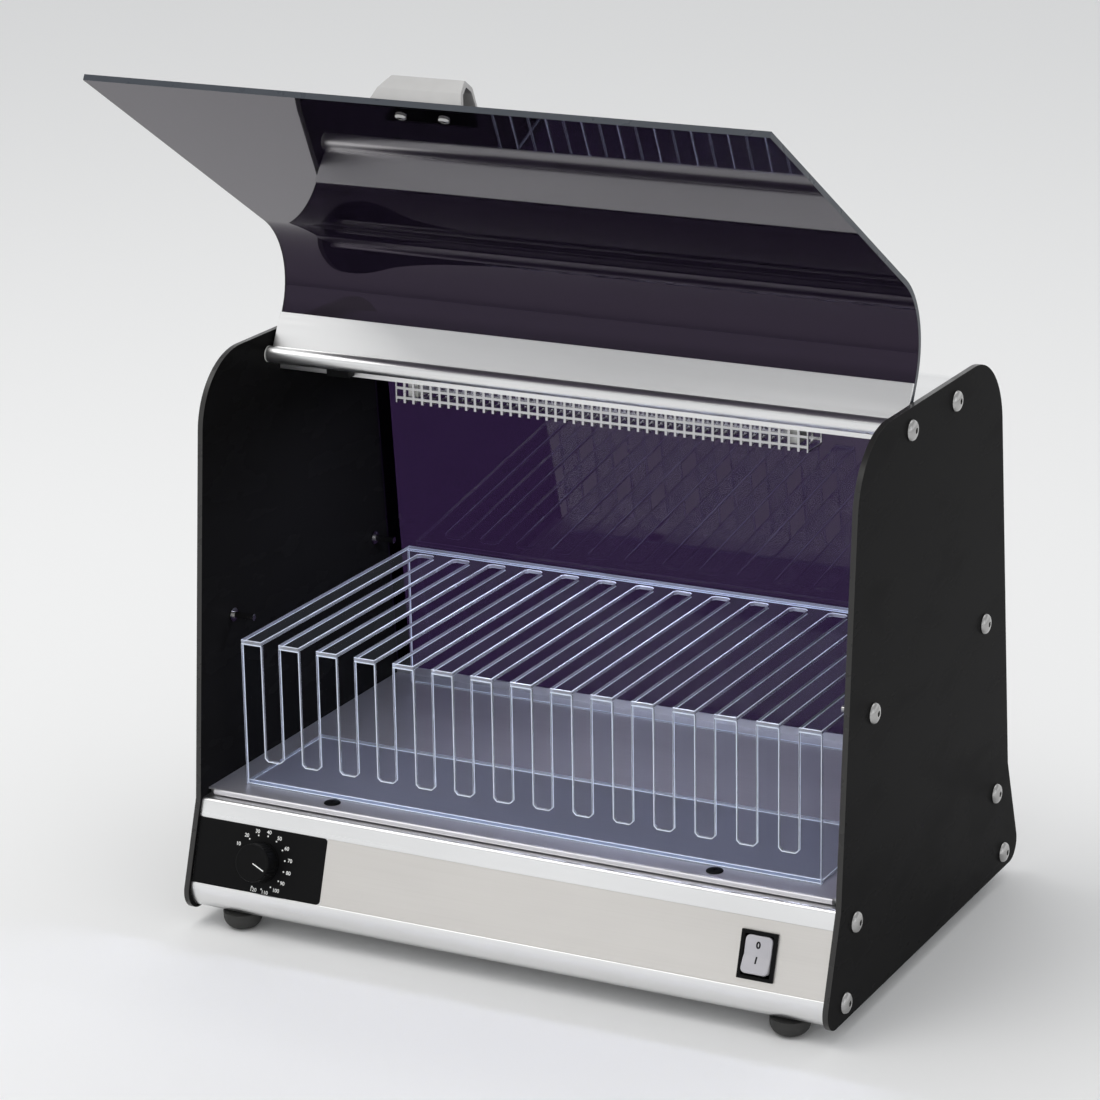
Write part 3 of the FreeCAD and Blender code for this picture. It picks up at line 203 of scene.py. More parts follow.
def clear_sheet(name, color):
    """Clear sheet: it lets light straight through with almost no real reflection, and a painted reflection,
    a faint bluish-white glow, greys it softly where it is seen at a flat angle.
    """
    # IOR 1.01 leaves next to no real reflection; the bluish-white emission set here is a painted reflection
    # in its place.
    made = shader(name, color, Roughness=0.0, Transmission_Weight=1.0, IOR=1.01,
                  Emission_Color=(0.80, 0.85, 1.0, 1))
    # Painted reflection: the glow grows with the fourth power of how edge-on the sheet is seen.
    edge_on = add(made, "ShaderNodeLayerWeight")
    steep = add(made, "ShaderNodeMath", operation="POWER")
    steep.inputs[1].default_value = 4.0
    dim = add(made, "ShaderNodeMath", operation="MULTIPLY")
    dim.inputs[1].default_value = 0.045
    link(made, edge_on.outputs["Facing"], steep.inputs[0])
    link(made, steep.outputs["Value"], dim.inputs[0])
    link(made, dim.outputs["Value"], made.node_tree.nodes["Principled BSDF"].inputs["Emission Strength"])
    return made


def see_through(made, color):
    """Let lamps shine through a clear sheet, tinted, because a lamp's light stops at glass otherwise."""
    path = add(made, "ShaderNodeLightPath")
    clear = add(made, "ShaderNodeBsdfTransparent")
    clear.inputs["Color"].default_value = (*color, 1)
    mix = add(made, "ShaderNodeMixShader")
    link(made, path.outputs["Is Shadow Ray"], mix.inputs["Fac"])
    link(made, made.node_tree.nodes["Principled BSDF"].outputs["BSDF"], mix.inputs[1])
    link(made, clear.outputs["BSDF"], mix.inputs[2])
    link(made, mix.outputs["Shader"], made.node_tree.nodes["Material Output"].inputs["Surface"])
    return made


FINISH = {
    "smoked_acrylic": polished("smoked_acrylic", (0.0092, 0.0090, 0.0092), 0.24, Specular_IOR_Level=0.008),
    "smoked_edge": sawn_edge("smoked_edge", (0.030, 0.029, 0.028), 0.3, Specular_IOR_Level=0.35),
    "violet_acrylic": polished("violet_acrylic", (0.026, 0.013, 0.046), 0.02,
                               Transmission_Weight=1.0, IOR=1.42),
    "dark_violet_acrylic": polished("dark_violet_acrylic", (0.009, 0.0062, 0.0135), 0.02,
                                    Transmission_Weight=1.0, IOR=1.4, Specular_Tint=(0.90, 0.72, 1.0, 1)),
    "violet_edge": sawn_edge("violet_edge", (0.045, 0.052, 0.064), 0.32, Specular_IOR_Level=0.3),
    "bolt_steel": satin_metal("bolt_steel", (0.42, 0.415, 0.41), 0.12, (300, 300, 300), 0.05),
    "satin_aluminium": satin_metal("satin_aluminium", (0.82, 0.82, 0.82), 0.32, strength=0.05),
    "champagne_aluminium": satin_metal("champagne_aluminium", (0.70, 0.676, 0.645), 0.42, (6, 900, 900)),
    "stainless_steel": satin_metal("stainless_steel", (0.52, 0.52, 0.53), 0.24, (4, 700, 700), 0.1),
    "tray_steel": satin_metal("tray_steel", (0.60, 0.59, 0.62), 0.34, (4, 600, 600), 0.1, metallic=0.75),
    "galvanised_steel": satin_metal("galvanised_steel", (0.55, 0.56, 0.57), 0.42, (120, 120, 120), 0.3),
    "black_plastic": moulded("black_plastic", (0.0055, 0.0055, 0.0058), 0.42, Specular_IOR_Level=0.07),
    "grey_plastic": moulded("grey_plastic", (0.44, 0.435, 0.43), 0.55),
    "rocker_plastic": moulded("rocker_plastic", (0.50, 0.49, 0.52), 0.32, 2200, 0.15),
    # Clear acrylic: clear, with a painted reflection that glows faintly where it is seen at a flat angle.
    "clear_acrylic": see_through(clear_sheet("clear_acrylic", (0.93, 0.95, 0.985)), (0.95, 0.96, 0.99)),
    "clear_cut": see_through(sawn_edge("clear_cut", (0.82, 0.87, 0.97), 0.12,
                                       Transmission_Weight=0.72, IOR=1.3), (0.80, 0.83, 0.90)),
    # Painted glint: the chamfers of the clear sheets get a pale finish with a faint bluish glow, standing
    # in for the light their edges catch.
    "clear_corner": sawn_edge("clear_corner", (0.74, 0.79, 0.88), 0.15, Emission_Color=(0.72, 0.80, 1.0, 1),
                              Emission_Strength=0.05),
    "lamp_glass": see_through(polished("lamp_glass", (0.93, 0.93, 0.98), 0.02,
                                       Transmission_Weight=1.0, IOR=1.47), (0.92, 0.92, 0.97)),
    "lamp_metal": satin_metal("lamp_metal", (0.78, 0.78, 0.79), 0.3, (60, 60, 60)),
    "white_plastic": moulded("white_plastic", (0.78, 0.78, 0.75), 0.45),
    "rubber": moulded("rubber", (0.028, 0.028, 0.027), 0.75, 900, 0.4),
    "print_white": moulded("print_white", (0.85, 0.85, 0.83), 0.5, 3000, 0.05),
    "print_dark": moulded("print_dark", (0.004, 0.004, 0.005), 0.5, 3000, 0.05, Specular_IOR_Level=0.15),
}


# ---------------------------------------------------------------- meshes
def show(name, bm, body, slot, *finishes, replaced=(), sharp=40):
    """Turn a bmesh into a piece: shaded smooth up to an angle, on its body, with its materials; its slot
    argument is not used.
    """
    mesh = bpy.data.meshes.new(name)
    bmesh.ops.recalc_face_normals(bm, faces=bm.faces)
    bm.to_mesh(mesh)
    bm.free()
    mesh.shade_smooth()
    mesh.set_sharp_from_angle(angle=math.radians(sharp))
    for finish in finishes:
        mesh.materials.append(FINISH[finish])
    piece = bpy.data.objects.new(name, mesh)
    bpy.context.scene.collection.objects.link(piece)
    weighted = piece.modifiers.new("weighted_normals", "WEIGHTED_NORMAL")
    weighted.keep_sharp = True
    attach(piece, body)
    if replaced:
        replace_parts(piece, *replaced)
    return piece


def solid_of(node):
    """A node's mesh, joined up, with the flat faces whole again."""
    bm = bmesh.new()
    bm.from_mesh(NODES[node].data)
    bmesh.ops.remove_doubles(bm, verts=bm.verts, dist=0.002 * MM)
    bmesh.ops.dissolve_limit(bm, angle_limit=math.radians(0.3), verts=bm.verts, edges=bm.edges)
    for layer in list(bm.loops.layers.uv.values()):
        bm.loops.layers.uv.remove(layer)
    return bm


def round_edges(bm, radius, segments=2, angle=30, chosen=None):
    """Round the edges that are sharper than an angle, or only those that a rule picks."""
    picked = [e for e in bm.edges if e.is_manifold and e.calc_face_angle() > math.radians(angle)]
    if chosen:
        picked = [e for e in picked if chosen(e)]
    bmesh.ops.bevel(bm, geom=picked, offset=radius, offset_type="OFFSET", segments=segments, profile=0.5,
                    affect="EDGES", clamp_overlap=True)


def finished(node, radius, *finishes, choose=None, segments=2, corners=None):
    """A CAD node with its edges broken; where it has several finishes, a rule chooses one for each face."""
    bm = solid_of(node)
    if corners:
        corner_radius, chosen = corners
        round_edges(bm, corner_radius, 6, 60, chosen)
    round_edges(bm, radius, segments)
    if choose:
        for face in bm.faces:
            face.material_index = int(choose(face))
    looks = finishes or (SLOT_OF[node],)
    return show(f"{node}_finished", bm, BODY_OF[node], SLOT_OF[node], *looks, replaced=(node,))


def islands(node):
    """The separate solids of a node, each with its low and high corner, and the middle and normal of its
    widest flat.
    """
    bm = solid_of(node)
    left, found = set(bm.verts), []
    while left:
        stack, seen = [left.pop()], set()
        while stack:
            vert = stack.pop()
            seen.add(vert)
            for edge in vert.link_edges:
                other = edge.other_vert(vert)
                if other in left:
                    left.remove(other)
                    stack.append(other)
        faces = {face for vert in seen for face in vert.link_faces}
        low = Vector([min(v.co[i] for v in seen) for i in range(3)])
        high = Vector([max(v.co[i] for v in seen) for i in range(3)])
        flats = {}
        for face in faces:
            key = tuple(round(c, 2) for c in face.normal)
            flats.setdefault(key, []).append(face)
        widest = max(flats.values(), key=lambda group: sum(f.calc_area() for f in group))
        area = sum(f.calc_area() for f in widest)
        middle = sum((f.calc_center_median() * f.calc_area() for f in widest), Vector()) / area
        found.append({"low": low, "high": high, "flat": middle, "normal": widest[0].normal.copy()})
    bm.free()
    return sorted(found, key=lambda solid: tuple(round(c, 5) for c in solid["low"]))


def facing(point, out, spin_from=Vector((1, 0, 0))):
    """A frame at a point whose z runs along out and whose x leans towards a given direction."""
    z = out.normalized()
    x = spin_from - z * spin_from.dot(z)
    if x.length < 0.01:
        x = Vector((0, 1, 0)) - z * z.y
    x.normalize()
    y = z.cross(x)
    return Matrix((
        (x.x, y.x, z.x, point.x),
        (x.y, y.y, z.y, point.y),
        (x.z, y.z, z.z, point.z),
        (0, 0, 0, 1)))


def circle(angle):
    """Form of a plain round ring: full reach at every angle."""
    return 1.0


def hexagon(angle):
    """Form with six flats, whose corners touch the circle."""
    return math.cos(math.pi / 6) / math.cos(angle % (math.pi / 3) - math.pi / 6)


def cross(angle):
    """Form of a cross-head recess: four arms, and a narrow middle between them."""
    return 1.0 if abs((angle + math.pi / 4) % (math.pi / 2) - math.pi / 4) < 0.2 else 0.34


def turned(bm, rings, place=Matrix(), segments=48):
    """A turned body through (radius, height, form) rings; a form bends the circle, and a zero closes it."""
    loops = []
    for radius, height, form in rings:
        if radius == 0:
            loops.append([bm.verts.new(place @ Vector((0, 0, height)))])
            continue
        loop = []
        for i in range(segments):
            angle = 2 * math.pi * i / segments
            reach = radius * form(angle)
            point = Vector((reach * math.cos(angle), reach * math.sin(angle), height))
            loop.append(bm.verts.new(place @ point))
        loops.append(loop)
    closed = rings[0][0] > 0
    pairs = list(zip(loops, loops[1:])) + ([(loops[-1], loops[0])] if closed else [])
    for lower, upper in pairs:
        for i in range(segments):
            j = (i + 1) % segments
            corners = [lower[i % len(lower)], lower[j % len(lower)],
                       upper[j % len(upper)], upper[i % len(upper)]]
            bm.faces.new(list(dict.fromkeys(corners)))


def screw_rings(radius, high, shank, shank_long, recess, form, flank=0.3):
    """Rings of a domed screw or bolt: shank, flat seat, short flank, dome and a recess in its crown."""
    rings = [(0, -shank_long, circle), (shank * 0.8, -shank_long, circle),
             (shank, -shank_long + shank * 0.2, circle), (shank, 0, circle), (radius * 0.96, 0, circle),
             (radius, high * 0.06, circle), (radius, high * flank, circle)]
    steps = 7
    cap = high * (1 - flank)
    for i in range(1, steps + 1):
        reach = radius - (radius - recess * 1.12) * i / steps
        rings.append((reach, high * flank + cap * math.sqrt(max(0, 1 - (reach / radius) ** 2)), circle))
    crown = rings[-1][1]
    rings += [(recess, crown, form), (recess * 0.93, crown - high * 0.08, form),
              (recess * 0.9, crown - high * 0.5, form), (0, crown - high * 0.62, circle)]
    return rings


def screws(node, places, rings):
    """Detailed screws in place of a node's plain ones."""
    bm = bmesh.new()
    for place in places:
        turned(bm, rings, place)
    show(f"{node}_detailed", bm, BODY_OF[node], SLOT_OF[node], SLOT_OF[node], replaced=(node,), sharp=32)


CORNER_STEPS, SIDE_STEPS = 6, 8
PRINT_THICK = 0.06 * MM


def rounded_rectangle(wide, tall, radius):
    """Points round a rectangle with rounded corners, from its right side over its top."""
    points = []
    for corner, (sx, sy) in enumerate(((1, 1), (-1, 1), (-1, -1), (1, -1))):
        middle = Vector((sx * (wide / 2 - radius), sy * (tall / 2 - radius)))
        for i in range(CORNER_STEPS + 1):
            angle = math.pi / 2 * (corner + i / CORNER_STEPS)
            points.append(middle + Vector((math.cos(angle), math.sin(angle))) * radius)
        if corner in (1, 3):
            start = points[-1]
            points += [Vector((start.x, start.y * (1 - 2 * i / SIDE_STEPS))) for i in range(1, SIDE_STEPS)]
    return points


def span_across(bm, loop):
    """Close a loop of rounded_rectangle points with level strips, from its top down."""
    count = len(loop)
    rows = [(loop[CORNER_STEPS - i], loop[(CORNER_STEPS + 1 + i) % count]) for i in range(count // 2)]
    for (right, left), (lower_right, lower_left) in zip(rows, rows[1:]):
        bm.faces.new((right, left, lower_left, lower_right))


def lettering(bm, text, size, weight, place):
    """Raised print: the built-in font as thin solid figures on a place, made bolder by a weight."""
    curve = bpy.data.curves.new("print", "FONT")
    curve.body = text
    curve.size = size
    curve.align_x = "CENTER"
    curve.align_y = "CENTER"
    curve.extrude = PRINT_THICK / 2
    curve.offset = weight
    holder = bpy.data.objects.new("print", curve)
    bpy.context.scene.collection.objects.link(holder)
    mesh = bpy.data.meshes.new_from_object(holder)
    mesh.transform(place)
    bm.from_mesh(mesh)
    bpy.data.objects.remove(holder)
    bpy.data.curves.remove(curve)
    bpy.data.meshes.remove(mesh)


def local_box(node, place):
    """Low and high corner of a node in another frame."""
    inverse = place.inverted()
    points = [inverse @ v.co for v in NODES[node].data.vertices]
    return (Vector([min(p[i] for p in points) for i in range(3)]),
            Vector([max(p[i] for p in points) for i in range(3)]))


# ---------------------------------------------------------------- cabinet
def side_panels():
    """Smoked sheets with polished faces and paler sawn edges."""
    for hand in ("left", "right"):
        finished(f"side_panel_{hand}", 0.45 * MM, "smoked_acrylic", "smoked_edge",
                 choose=lambda face: abs(face.normal.x) < 0.8, segments=3)


BOLT_SHANK, BOLT_SOCKET = 3 * MM, 2.31 * MM


def panel_bolts():
    """Button-head bolts with hexagon sockets, from the head's size in the frame."""
    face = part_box("side_panel_right")[1].x
    for hand, side in (("left", -1), ("right", 1)):
        for node in (f"hinge_bolt_{hand}", f"panel_bolts_{hand}"):
            places, lengths = [], []
            for bolt in islands(node):
                middle = (bolt["low"] + bolt["high"]) / 2
                places.append(facing(Vector((side * face, middle.y, middle.z)), Vector((side, 0, 0)),
                                     Vector((0, 0, 1))))
                lengths.append(bolt["high"].x - bolt["low"].x)
            radius = (bolt["high"].y - bolt["low"].y) / 2
            head = max(abs(bolt["low"].x), abs(bolt["high"].x)) - face
            bm = bmesh.new()
            for place, length in zip(places, lengths):
                rings = screw_rings(radius, head, BOLT_SHANK, length - head, BOLT_SOCKET, hexagon, 0.22)
                turned(bm, rings, place)
            show(f"{node}_detailed", bm, BODY_OF[node], SLOT_OF[node], "bolt_steel",
                 replaced=(node,), sharp=32)


def base():
    """Extruded profiles, the front one softer on the lip under its fascia, then fascias, pan and tray."""
    place = dial_frame()
    fascia = local_box("front_fascia", place)[0]

    def lower_lip(edge):
        ends = [place.inverted() @ v.co for v in edge.verts]
        return all(abs(end.y - fascia.y) < 0.5 * MM and end.z > fascia.z + 0.2 * MM for end in ends)
    finished("front_base_profile", 0.25 * MM, corners=(0.7 * MM, lower_lip))
    finished("rear_base_profile", 0.25 * MM)
    finished("bottom_pan", 0.2 * MM)
    for node in ("front_fascia", "rear_fascia"):
        finished(node, 0.1 * MM, segments=1)
    finished("floor_tray", 0.3 * MM, "tray_steel")


def roof():
    """Roof sheet, its rail and the tinted rear wall."""
    finished("roof_panel", 0.35 * MM)
    finished("roof_rail", 0.5 * MM)
    finished("rear_wall", 0.4 * MM, "violet_acrylic", "violet_edge",
             choose=lambda face: abs(face.normal.x) > 0.7)


REAR_HEAD, GUARD_HEAD, TRAY_HEAD, HANDLE_HEAD = 1.8 * MM, 1.8 * MM, 1.4 * MM, 2.2 * MM


def upright(screw, seat, out):
    """Frame of a vertical screw, at the height of its head's seat."""
    middle = (screw["low"] + screw["high"]) / 2
    return facing(Vector((middle.x, middle.y, seat)), out)


def small_screws():
    """Domed cross-head screws: rear skirt, lamp guard, tray and door handle."""
    rear = [facing(s["flat"] - s["normal"] * REAR_HEAD, s["normal"]) for s in islands("rear_wall_screws")]
    screws("rear_wall_screws", rear, screw_rings(3.4 * MM, REAR_HEAD, 1.6 * MM, 6 * MM, 1.7 * MM, cross))
    guard = [upright(s, s["low"].z + GUARD_HEAD, Vector((0, 0, -1))) for s in islands("guard_screws")]
    screws("guard_screws", guard, screw_rings(3 * MM, GUARD_HEAD, 1.5 * MM, 3 * MM, 1.5 * MM, cross))
    tray = [upright(s, s["high"].z - TRAY_HEAD, Vector((0, 0, 1))) for s in islands("tray_screws")]
    screws("tray_screws", tray, screw_rings(6 * MM, TRAY_HEAD, 2.1 * MM, 1.2 * MM, 2.6 * MM, cross))
    grip = [facing(s["flat"] - s["normal"] * HANDLE_HEAD, s["normal"]) for s in islands("handle_screws")]
    screws("handle_screws", grip, screw_rings(3.8 * MM, HANDLE_HEAD, 2 * MM, 13 * MM, 1.9 * MM, cross))


# ---------------------------------------------------------------- door
def door():
    """Tinted sheet with light edges, and the rail it turns on."""
    tip = min(NODES["door_panel"].data.vertices, key=lambda v: v.co.y - v.co.z).co
    tip_band = 4.6 * MM

    def is_edge(face):
        centre = face.calc_center_median()
        return abs(face.normal.x) > 0.7 or math.hypot(centre.y - tip.y, centre.z - tip.z) < tip_band
    finished("door_panel", 0.4 * MM, "dark_violet_acrylic", "violet_edge", choose=is_edge, segments=3)
    finished("door_rail", 0.3 * MM)
    for hand in ("left", "right"):
        finished(f"hinge_bush_{hand}", 0.15 * MM)
    finished("door_handle", 0.9 * MM, segments=3)


# ---------------------------------------------------------------- timer
DOT_RING = 19.05 * MM
DOT_RADIUS = 0.62 * MM
NUMBER_ASIDE, NUMBER_ABOVE, NUMBER_BELOW = 23.2 * MM, 21.9 * MM, 21.1 * MM
NUMBER_SIZE, NUMBER_WEIGHT = 3.7 * MM, 0.06 * MM
THREE_FIGURES_SHIFT = 2.4 * MM


def dial_frame():
    """Frame on the slanted face: x to the right, y up the face, z out of it, at the dial's centre."""
    joint = JOINTS["timer_turn"]
    return facing(Vector(joint["pos_m"]), -Vector(joint["axis"]))


def dial_angle(minutes):
    """Angle of a time on the dial, clockwise from straight up."""
    return math.radians(-86 + 2.35 * minutes)


def timer():
    """Timer plate with rounded right corners, and a number for each ten minutes, from 20 on with a dot."""
    place = dial_frame()
    high = local_box("timer_plate", place)[1]

    def right_corner(edge):
        ends = [place.inverted() @ v.co for v in edge.verts]
        return all(end.x > high.x - 0.1 * MM for end in ends) and abs(ends[0].z - ends[1].z) > 0.5 * MM
    finished("timer_plate", 0.1 * MM, corners=(3 * MM, right_corner), segments=1)
    marks = bmesh.new()
    for minutes in range(10, 121, 10):
        angle = dial_angle(minutes)
        ray = Vector((math.sin(angle), math.cos(angle), 0))
        if minutes > 10:
            spot = place @ Matrix.Translation(ray * DOT_RING + Vector((0, 0, high.z)))
            turned(marks, [(0, -0.02 * MM, circle), (DOT_RADIUS, -0.02 * MM, circle),
                           (DOT_RADIUS, 0.05 * MM, circle), (0, 0.06 * MM, circle)], spot, 20)
        shift = THREE_FIGURES_SHIFT if minutes >= 100 else 0
        reach = NUMBER_ABOVE if ray.y > 0 else NUMBER_BELOW
        text = Vector((ray.x * NUMBER_ASIDE + shift, ray.y * reach, high.z))
        lettering(marks, str(minutes), NUMBER_SIZE, NUMBER_WEIGHT, place @ Matrix.Translation(text))
    show("timer_marks", marks, "cabinet", "black_plastic", "print_white", sharp=30)


KNOB_CUP, KNOB_CUP_DEEP, KNOB_DISH = 8.2 * MM, 3.5 * MM, 0.3 * MM
POINTER_REST = 85
POINTER_HALF, POINTER_START, POINTER_END, POINTER_RISE = 0.36 * MM, 0.8 * MM, 11 * MM, 0.15 * MM


def knob():
    """Knob with a fluted grip, a dished face and a raised pointer line."""
    place = dial_frame()
    low, high = local_box("timer_knob", place)
    base, crown = high.x, high.x - 0.7 * MM

    def fluted(angle):
        return 1 - 0.022 * (0.5 + 0.5 * math.cos(36 * angle)) ** 2
    cup, dish = low.z + KNOB_CUP_DEEP, high.z - KNOB_DISH
    inside = [(0, cup, circle), (3.0 * MM, cup, circle), (KNOB_CUP, cup, circle), (KNOB_CUP, low.z, circle)]
    skirt = [(base - 0.4 * MM, low.z, circle), (base, low.z + 0.4 * MM, circle),
             (base, low.z + 1.6 * MM, circle)]
    grip = [(base - 0.15 * MM, low.z + 2.1 * MM, fluted), (crown + 0.05 * MM, high.z - 1.3 * MM, fluted)]
    rim = [(crown - 0.1 * MM, high.z - 0.8 * MM, circle), (crown - 0.35 * MM, high.z - 0.3 * MM, circle),
           (crown - 0.8 * MM, high.z - 0.05 * MM, circle), (crown - 1.3 * MM, high.z, circle),
           (crown - 2.0 * MM, high.z - 0.12 * MM, circle)]
    top = [(crown - 3.0 * MM, dish, circle), (3.05 * MM, dish, circle), (1.0 * MM, dish, circle),
           (0, dish, circle)]
    bm = bmesh.new()
    turned(bm, inside + skirt + grip + rim + top, place, 216)
    show("timer_knob_detailed", bm, "timer_knob", "black_plastic", "black_plastic",
         replaced=("timer_knob",), sharp=50)
    pointer = place @ Matrix.Rotation(-dial_angle(POINTER_REST), 4, "Z") @ Matrix.Translation((0, 0, dish))
    line = bmesh.new()
    for x, y in ((-POINTER_HALF, POINTER_START), (POINTER_HALF, POINTER_START),
                 (POINTER_HALF, POINTER_END), (-POINTER_HALF, POINTER_END)):
        line.verts.new((x, y, 0))
    face = line.faces.new(line.verts[:])
    raised = bmesh.ops.extrude_face_region(line, geom=[face])["geom"]
    corners = [part for part in raised if isinstance(part, bmesh.types.BMVert)]
    bmesh.ops.translate(line, vec=(0, 0, POINTER_RISE), verts=corners)
    bmesh.ops.transform(line, matrix=pointer, verts=line.verts)
    show("timer_knob_pointer", line, "timer_knob", "black_plastic", "print_white")


# ---------------------------------------------------------------- switch
ROCKER_REST = math.radians(-9)
ROCKER_CORNER = 3.8 * MM
ROCKER_DIP = 2 * MM
ROCKER_CREASE = 0.25 * MM
MARK_SIZE, MARK_WEIGHT = 6.3 * MM, 0.3 * MM


def switch():
    """Framed housing, and a rocker that dips towards its middle and carries its two marks."""
    finished("switch_housing", 0.45 * MM, segments=3)
    joint = JOINTS["power_rocker_tilt"]
    out = -Vector(JOINTS["timer_turn"]["axis"])
    place = facing(Vector(joint["pos_m"]), out) @ Matrix.Rotation(ROCKER_REST, 4, "X")
    low, high = local_box("switch_rocker", place)
    wide, tall, rise = high.x - low.x, high.y - low.y, high.z

    def crown(y):
        reach = abs(y) / (tall / 2)
        return rise - ROCKER_DIP * (1 - reach) - ROCKER_CREASE * max(0, 1 - reach * 6)

    def outline(inset):
        return rounded_rectangle(wide - 2 * inset, tall - 2 * inset, ROCKER_CORNER - inset)
    bm = bmesh.new()
    loops = [[bm.verts.new(place @ Vector((p.x, p.y, low.z / 4))) for p in outline(0.6 * MM)]]
    for inset, depth in ((0, -4.5), (0, -1.2), (0.12, -0.55), (0.45, -0.14), (1.1, 0)):
        ring = outline(inset * MM)
        loops.append([bm.verts.new(place @ Vector((p.x, p.y, crown(p.y) + depth * MM))) for p in ring])
    count = len(loops[0])
    for lower, upper in zip(loops, loops[1:]):
        for i in range(count):
            j = (i + 1) % count
            bm.faces.new((lower[i], lower[j], upper[j], upper[i]))
    for loop in (loops[0], loops[-1]):
        span_across(bm, loop)
    show("switch_rocker_detailed", bm, "power_rocker", "grey_plastic", "rocker_plastic",
         replaced=("switch_rocker",), sharp=50)
    marks = bmesh.new()
    lean = math.atan2(ROCKER_DIP, tall / 2)
    for text, y, sign in (("0", 0.24 * tall, 1), ("I", -0.15 * tall, -1)):
        spot = place @ Matrix.Translation((0, y, crown(y))) @ Matrix.Rotation(sign * lean, 4, "X")
        lettering(marks, text, MARK_SIZE, MARK_WEIGHT, spot)
    show("switch_marks", marks, "power_rocker", "grey_plastic", "print_dark", sharp=30)


# ---------------------------------------------------------------- rack, lamp and small parts
def rack():
    """Clear sheets: a painted glint along their corners (a pale finish with a faint glow), paler across
    their cut sides than through their faces.
    """
    for node, axis in (("rack_front", 1), ("rack_top", 2), ("rack_rear", 1), ("rack_base", 2)):
        def side(face, across=axis):
            reach = abs(face.normal[across])
            straight = max(abs(c) for c in face.normal) > 0.99 or reach < 0.1
            return 0 if reach > 0.99 else 1 if straight else 2
        # The third finish, on the chamfer faces, is a painted glint.
        finished(node, 0.5 * MM, "clear_acrylic", "clear_cut", "clear_corner", choose=side, segments=1)


def lamp():
    """Hollow glass tube with a cathode wire at each pin, between its metal caps and its holders."""
    for hand in ("left", "right"):
        finished(f"lamp_holder_{hand}", 0.6 * MM)
        NODES[f"lamp_cap_{hand}"].data.materials[0] = FINISH["lamp_metal"]
    low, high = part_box("uv_lamp")
    radius = (high.z - low.z) / 2
    length = high.x - low.x
    middle = (low + high) / 2
    place = facing(Vector((low.x, middle.y, middle.z)), Vector((1, 0, 0)), Vector((0, 0, 1)))
    wall = 0.9 * MM
    bm = bmesh.new()
    turned(bm, [(radius * 0.93, 0, circle), (radius, 1.5 * MM, circle), (radius, length - 1.5 * MM, circle),
                (radius * 0.93, length, circle), (radius * 0.93 - wall, length, circle),
                (radius - wall, length - 1.5 * MM, circle), (radius - wall, 1.5 * MM, circle),
                (radius * 0.93 - wall, 0, circle)], place)
    show("uv_lamp_tube", bm, "cabinet", "lamp_glass", "lamp_glass", replaced=("uv_lamp",))
    cathodes = bmesh.new()
    wire = [(0, 0, circle), (0.5 * MM, 0, circle), (0.4 * MM, 14 * MM, circle), (0, 14.4 * MM, circle)]
    for start, turn in ((2 * MM, 0), (length - 2 * MM, math.pi)):
        for step in (-2.5 * MM, 2.5 * MM):
            spot = Matrix.Translation((step, 0, start)) @ Matrix.Rotation(turn, 4, "X")
            turned(cathodes, wire, place @ spot, 12)
    show("uv_lamp_cathodes", cathodes, "cabinet", "lamp_metal", "lamp_metal")


GLAND_BORE, GLAND_THREAD, GLAND_HIGH = 4 * MM, 8 * MM, 15 * MM


def gland():
    """Hexagonal gland body and a fluted dome nut, round the cord hole."""
    mount = [m for m in frame["record"]["mounts"] if m["name"] == "cord_gland"][0]
    axis = Vector(mount["axis"])
    if axis.y < 0:
        axis = -axis
    centre = sum(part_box("cable_gland"), Vector()) / 2
    point = Vector(mount["pos_m"])
    middle = point + axis * (centre - point).dot(axis)
    place = facing(middle, axis)
    low, high = local_box("cable_gland", place)

    def fluted(angle):
        return 1 - 0.05 * (0.5 + 0.5 * math.cos(18 * angle))
    seat = high.z - GLAND_HIGH
    thread = [(GLAND_BORE, low.z, circle), (GLAND_THREAD, low.z, circle), (GLAND_THREAD, seat, circle)]
    flange = [(10.6 * MM, seat, hexagon), (11 * MM, seat + 0.4 * MM, hexagon),
              (11 * MM, seat + 4.4 * MM, hexagon), (10.4 * MM, seat + 5 * MM, hexagon)]
    dome = [(9.5 * MM, seat + 5.2 * MM, circle), (9.5 * MM, seat + 6 * MM, fluted),
            (8.8 * MM, seat + 10 * MM, fluted), (7.6 * MM, seat + 13 * MM, fluted),
            (6.4 * MM, seat + 14.7 * MM, circle), (5.6 * MM, seat + GLAND_HIGH, circle),
            (GLAND_BORE, seat + 14.6 * MM, circle)]
    bm = bmesh.new()
    turned(bm, thread + flange + dome, place, 144)
    show("cable_gland_detailed", bm, "cabinet", "black_plastic", "black_plastic",
         replaced=("cable_gland",), sharp=35)


def remaining():
    """Every other node keeps its shape, with its edges broken where they show, and its finish."""
    for node in ("ballast", "starter_holder", "terminal_block", "interlock_switch"):
        finished(node, 0.5 * MM)
    for node in ("timer_body", "timer_nut", "gland_nut"):
        finished(node, 0.25 * MM)
    replaced = {name for piece in bpy.data.objects for name in piece.get("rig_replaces", [])}
    for node, piece in NODES.items():
        if node not in replaced:
            for slot in range(len(piece.data.materials)):
                piece.data.materials[slot] = FINISH[SLOT_OF[node]]


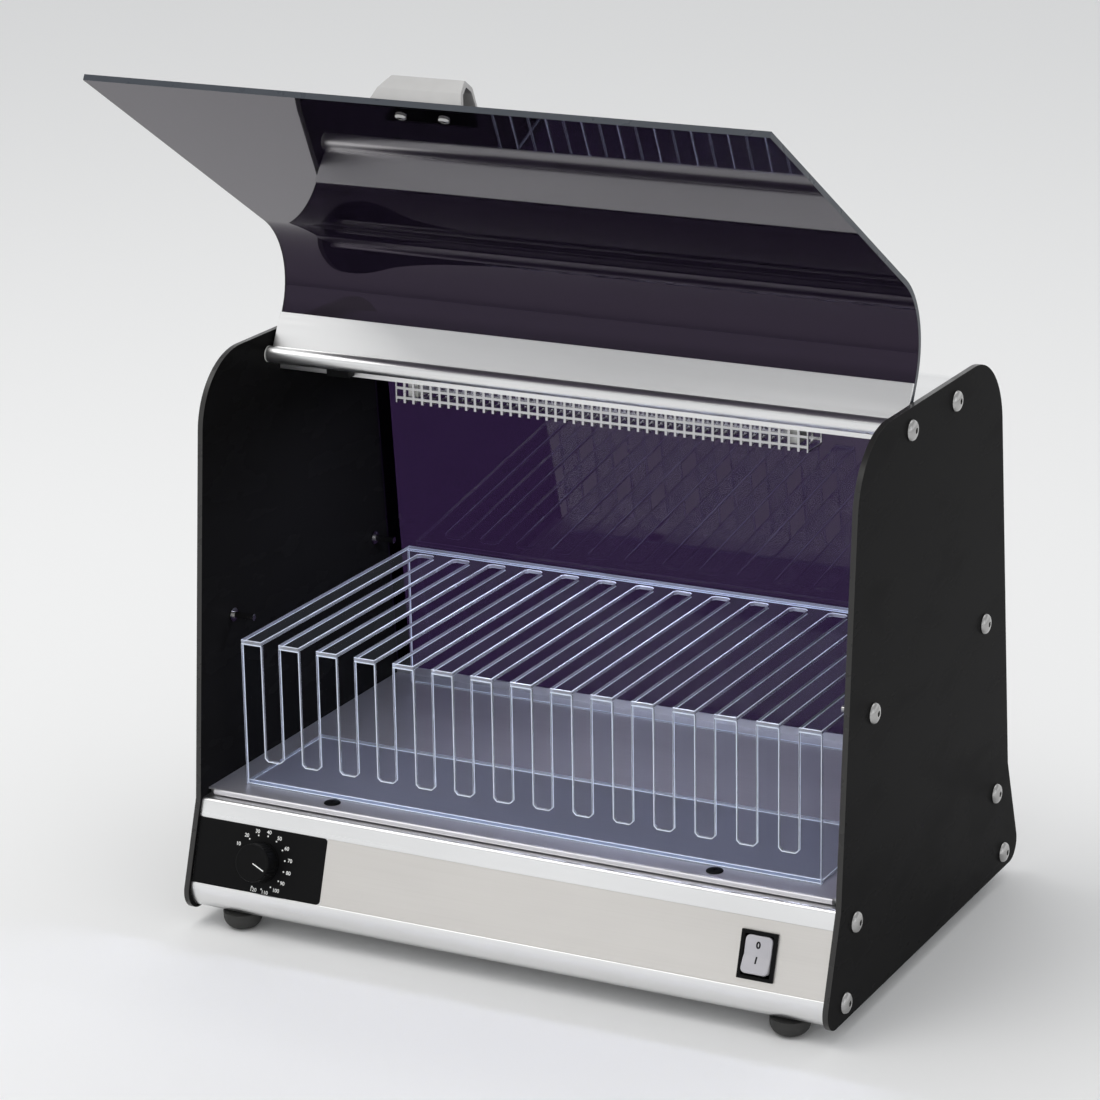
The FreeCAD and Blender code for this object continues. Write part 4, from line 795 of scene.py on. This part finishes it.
# ---------------------------------------------------------------- studio
def white_room():
    """Plain white walls that dim towards the ceiling, so that metal shows its curves."""
    world = bpy.data.worlds.new("white_room")
    world.use_nodes = True
    nodes, links = world.node_tree.nodes, world.node_tree.links
    direction = nodes.new("ShaderNodeTexCoord")
    height = nodes.new("ShaderNodeSeparateXYZ")
    walls = nodes.new("ShaderNodeValToRGB")
    stops = walls.color_ramp.elements
    for position in (0.28, 0.6):
        stops.new(position)
    for stop, level in zip(stops, (0.96, 0.96, 0.58, 0.74)):
        stop.color = (level * 0.98, level * 0.99, level, 1)
    links.new(direction.outputs["Generated"], height.inputs["Vector"])
    links.new(height.outputs["Z"], walls.inputs["Fac"])
    links.new(walls.outputs["Color"], nodes["Background"].inputs["Color"])
    return world


def soft_light(name, place, size, power, color):
    """A rectangular lamp that shines straight down."""
    data = bpy.data.lights.new(name, "AREA")
    data.shape = "RECTANGLE"
    data.size, data.size_y = size
    data.energy = power
    data.color = color
    light = bpy.data.objects.new(name, data)
    bpy.context.scene.collection.objects.link(light)
    light.location = place
    return light


def studio():
    """White room, matt floor and three large soft lamps aimed at the cabinet."""
    scene = bpy.context.scene
    scene.view_settings.view_transform = "Standard"
    scene.world = white_room()
    bm = bmesh.new()
    bmesh.ops.create_circle(bm, cap_ends=True, segments=64, radius=14)
    mesh = bpy.data.meshes.new("studio_floor")
    bm.to_mesh(mesh)
    bm.free()
    mesh.materials.append(shader("studio_floor", (0.86, 0.86, 0.86), Roughness=0.7))
    floor = bpy.data.objects.new("studio_floor", mesh)
    scene.collection.objects.link(floor)
    for name, place, size, power, color in (
            ("key", (-1.1, -1.1, 3.3), 2.4, 44, (1.0, 0.99, 0.97)),
            ("fill", (2.4, -1.2, 1.6), 1.8, 4, (0.96, 0.98, 1.0)),
            ("top", (0.0, 0.8, 2.8), 2.0, 8, (1.0, 1.0, 1.0))):
        light = soft_light(name, place, (size, size), power, color)
        aim = Vector((0, 0, 0.25)) - Vector(place)
        light.rotation_euler = aim.to_track_quat("-Z", "Y").to_euler()


def chamber_glow():
    """The tube's own light: a soft violet-blue strip just under its guard, which shines down."""
    low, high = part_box("lamp_guard")
    under = ((low.x + high.x) / 2, (low.y + high.y) / 2, low.z - 6 * MM)
    light = soft_light("chamber_glow", under, ((high.x - low.x) * 0.9, 30 * MM), 0.65, (0.76, 0.78, 1.0))
    light.visible_camera = False
    light.visible_transmission = False


aim_camera()
studio()
chamber_glow()
side_panels()
panel_bolts()
base()
roof()
small_screws()
door()
timer()
knob()
switch()
rack()
lamp()
gland()
remaining()
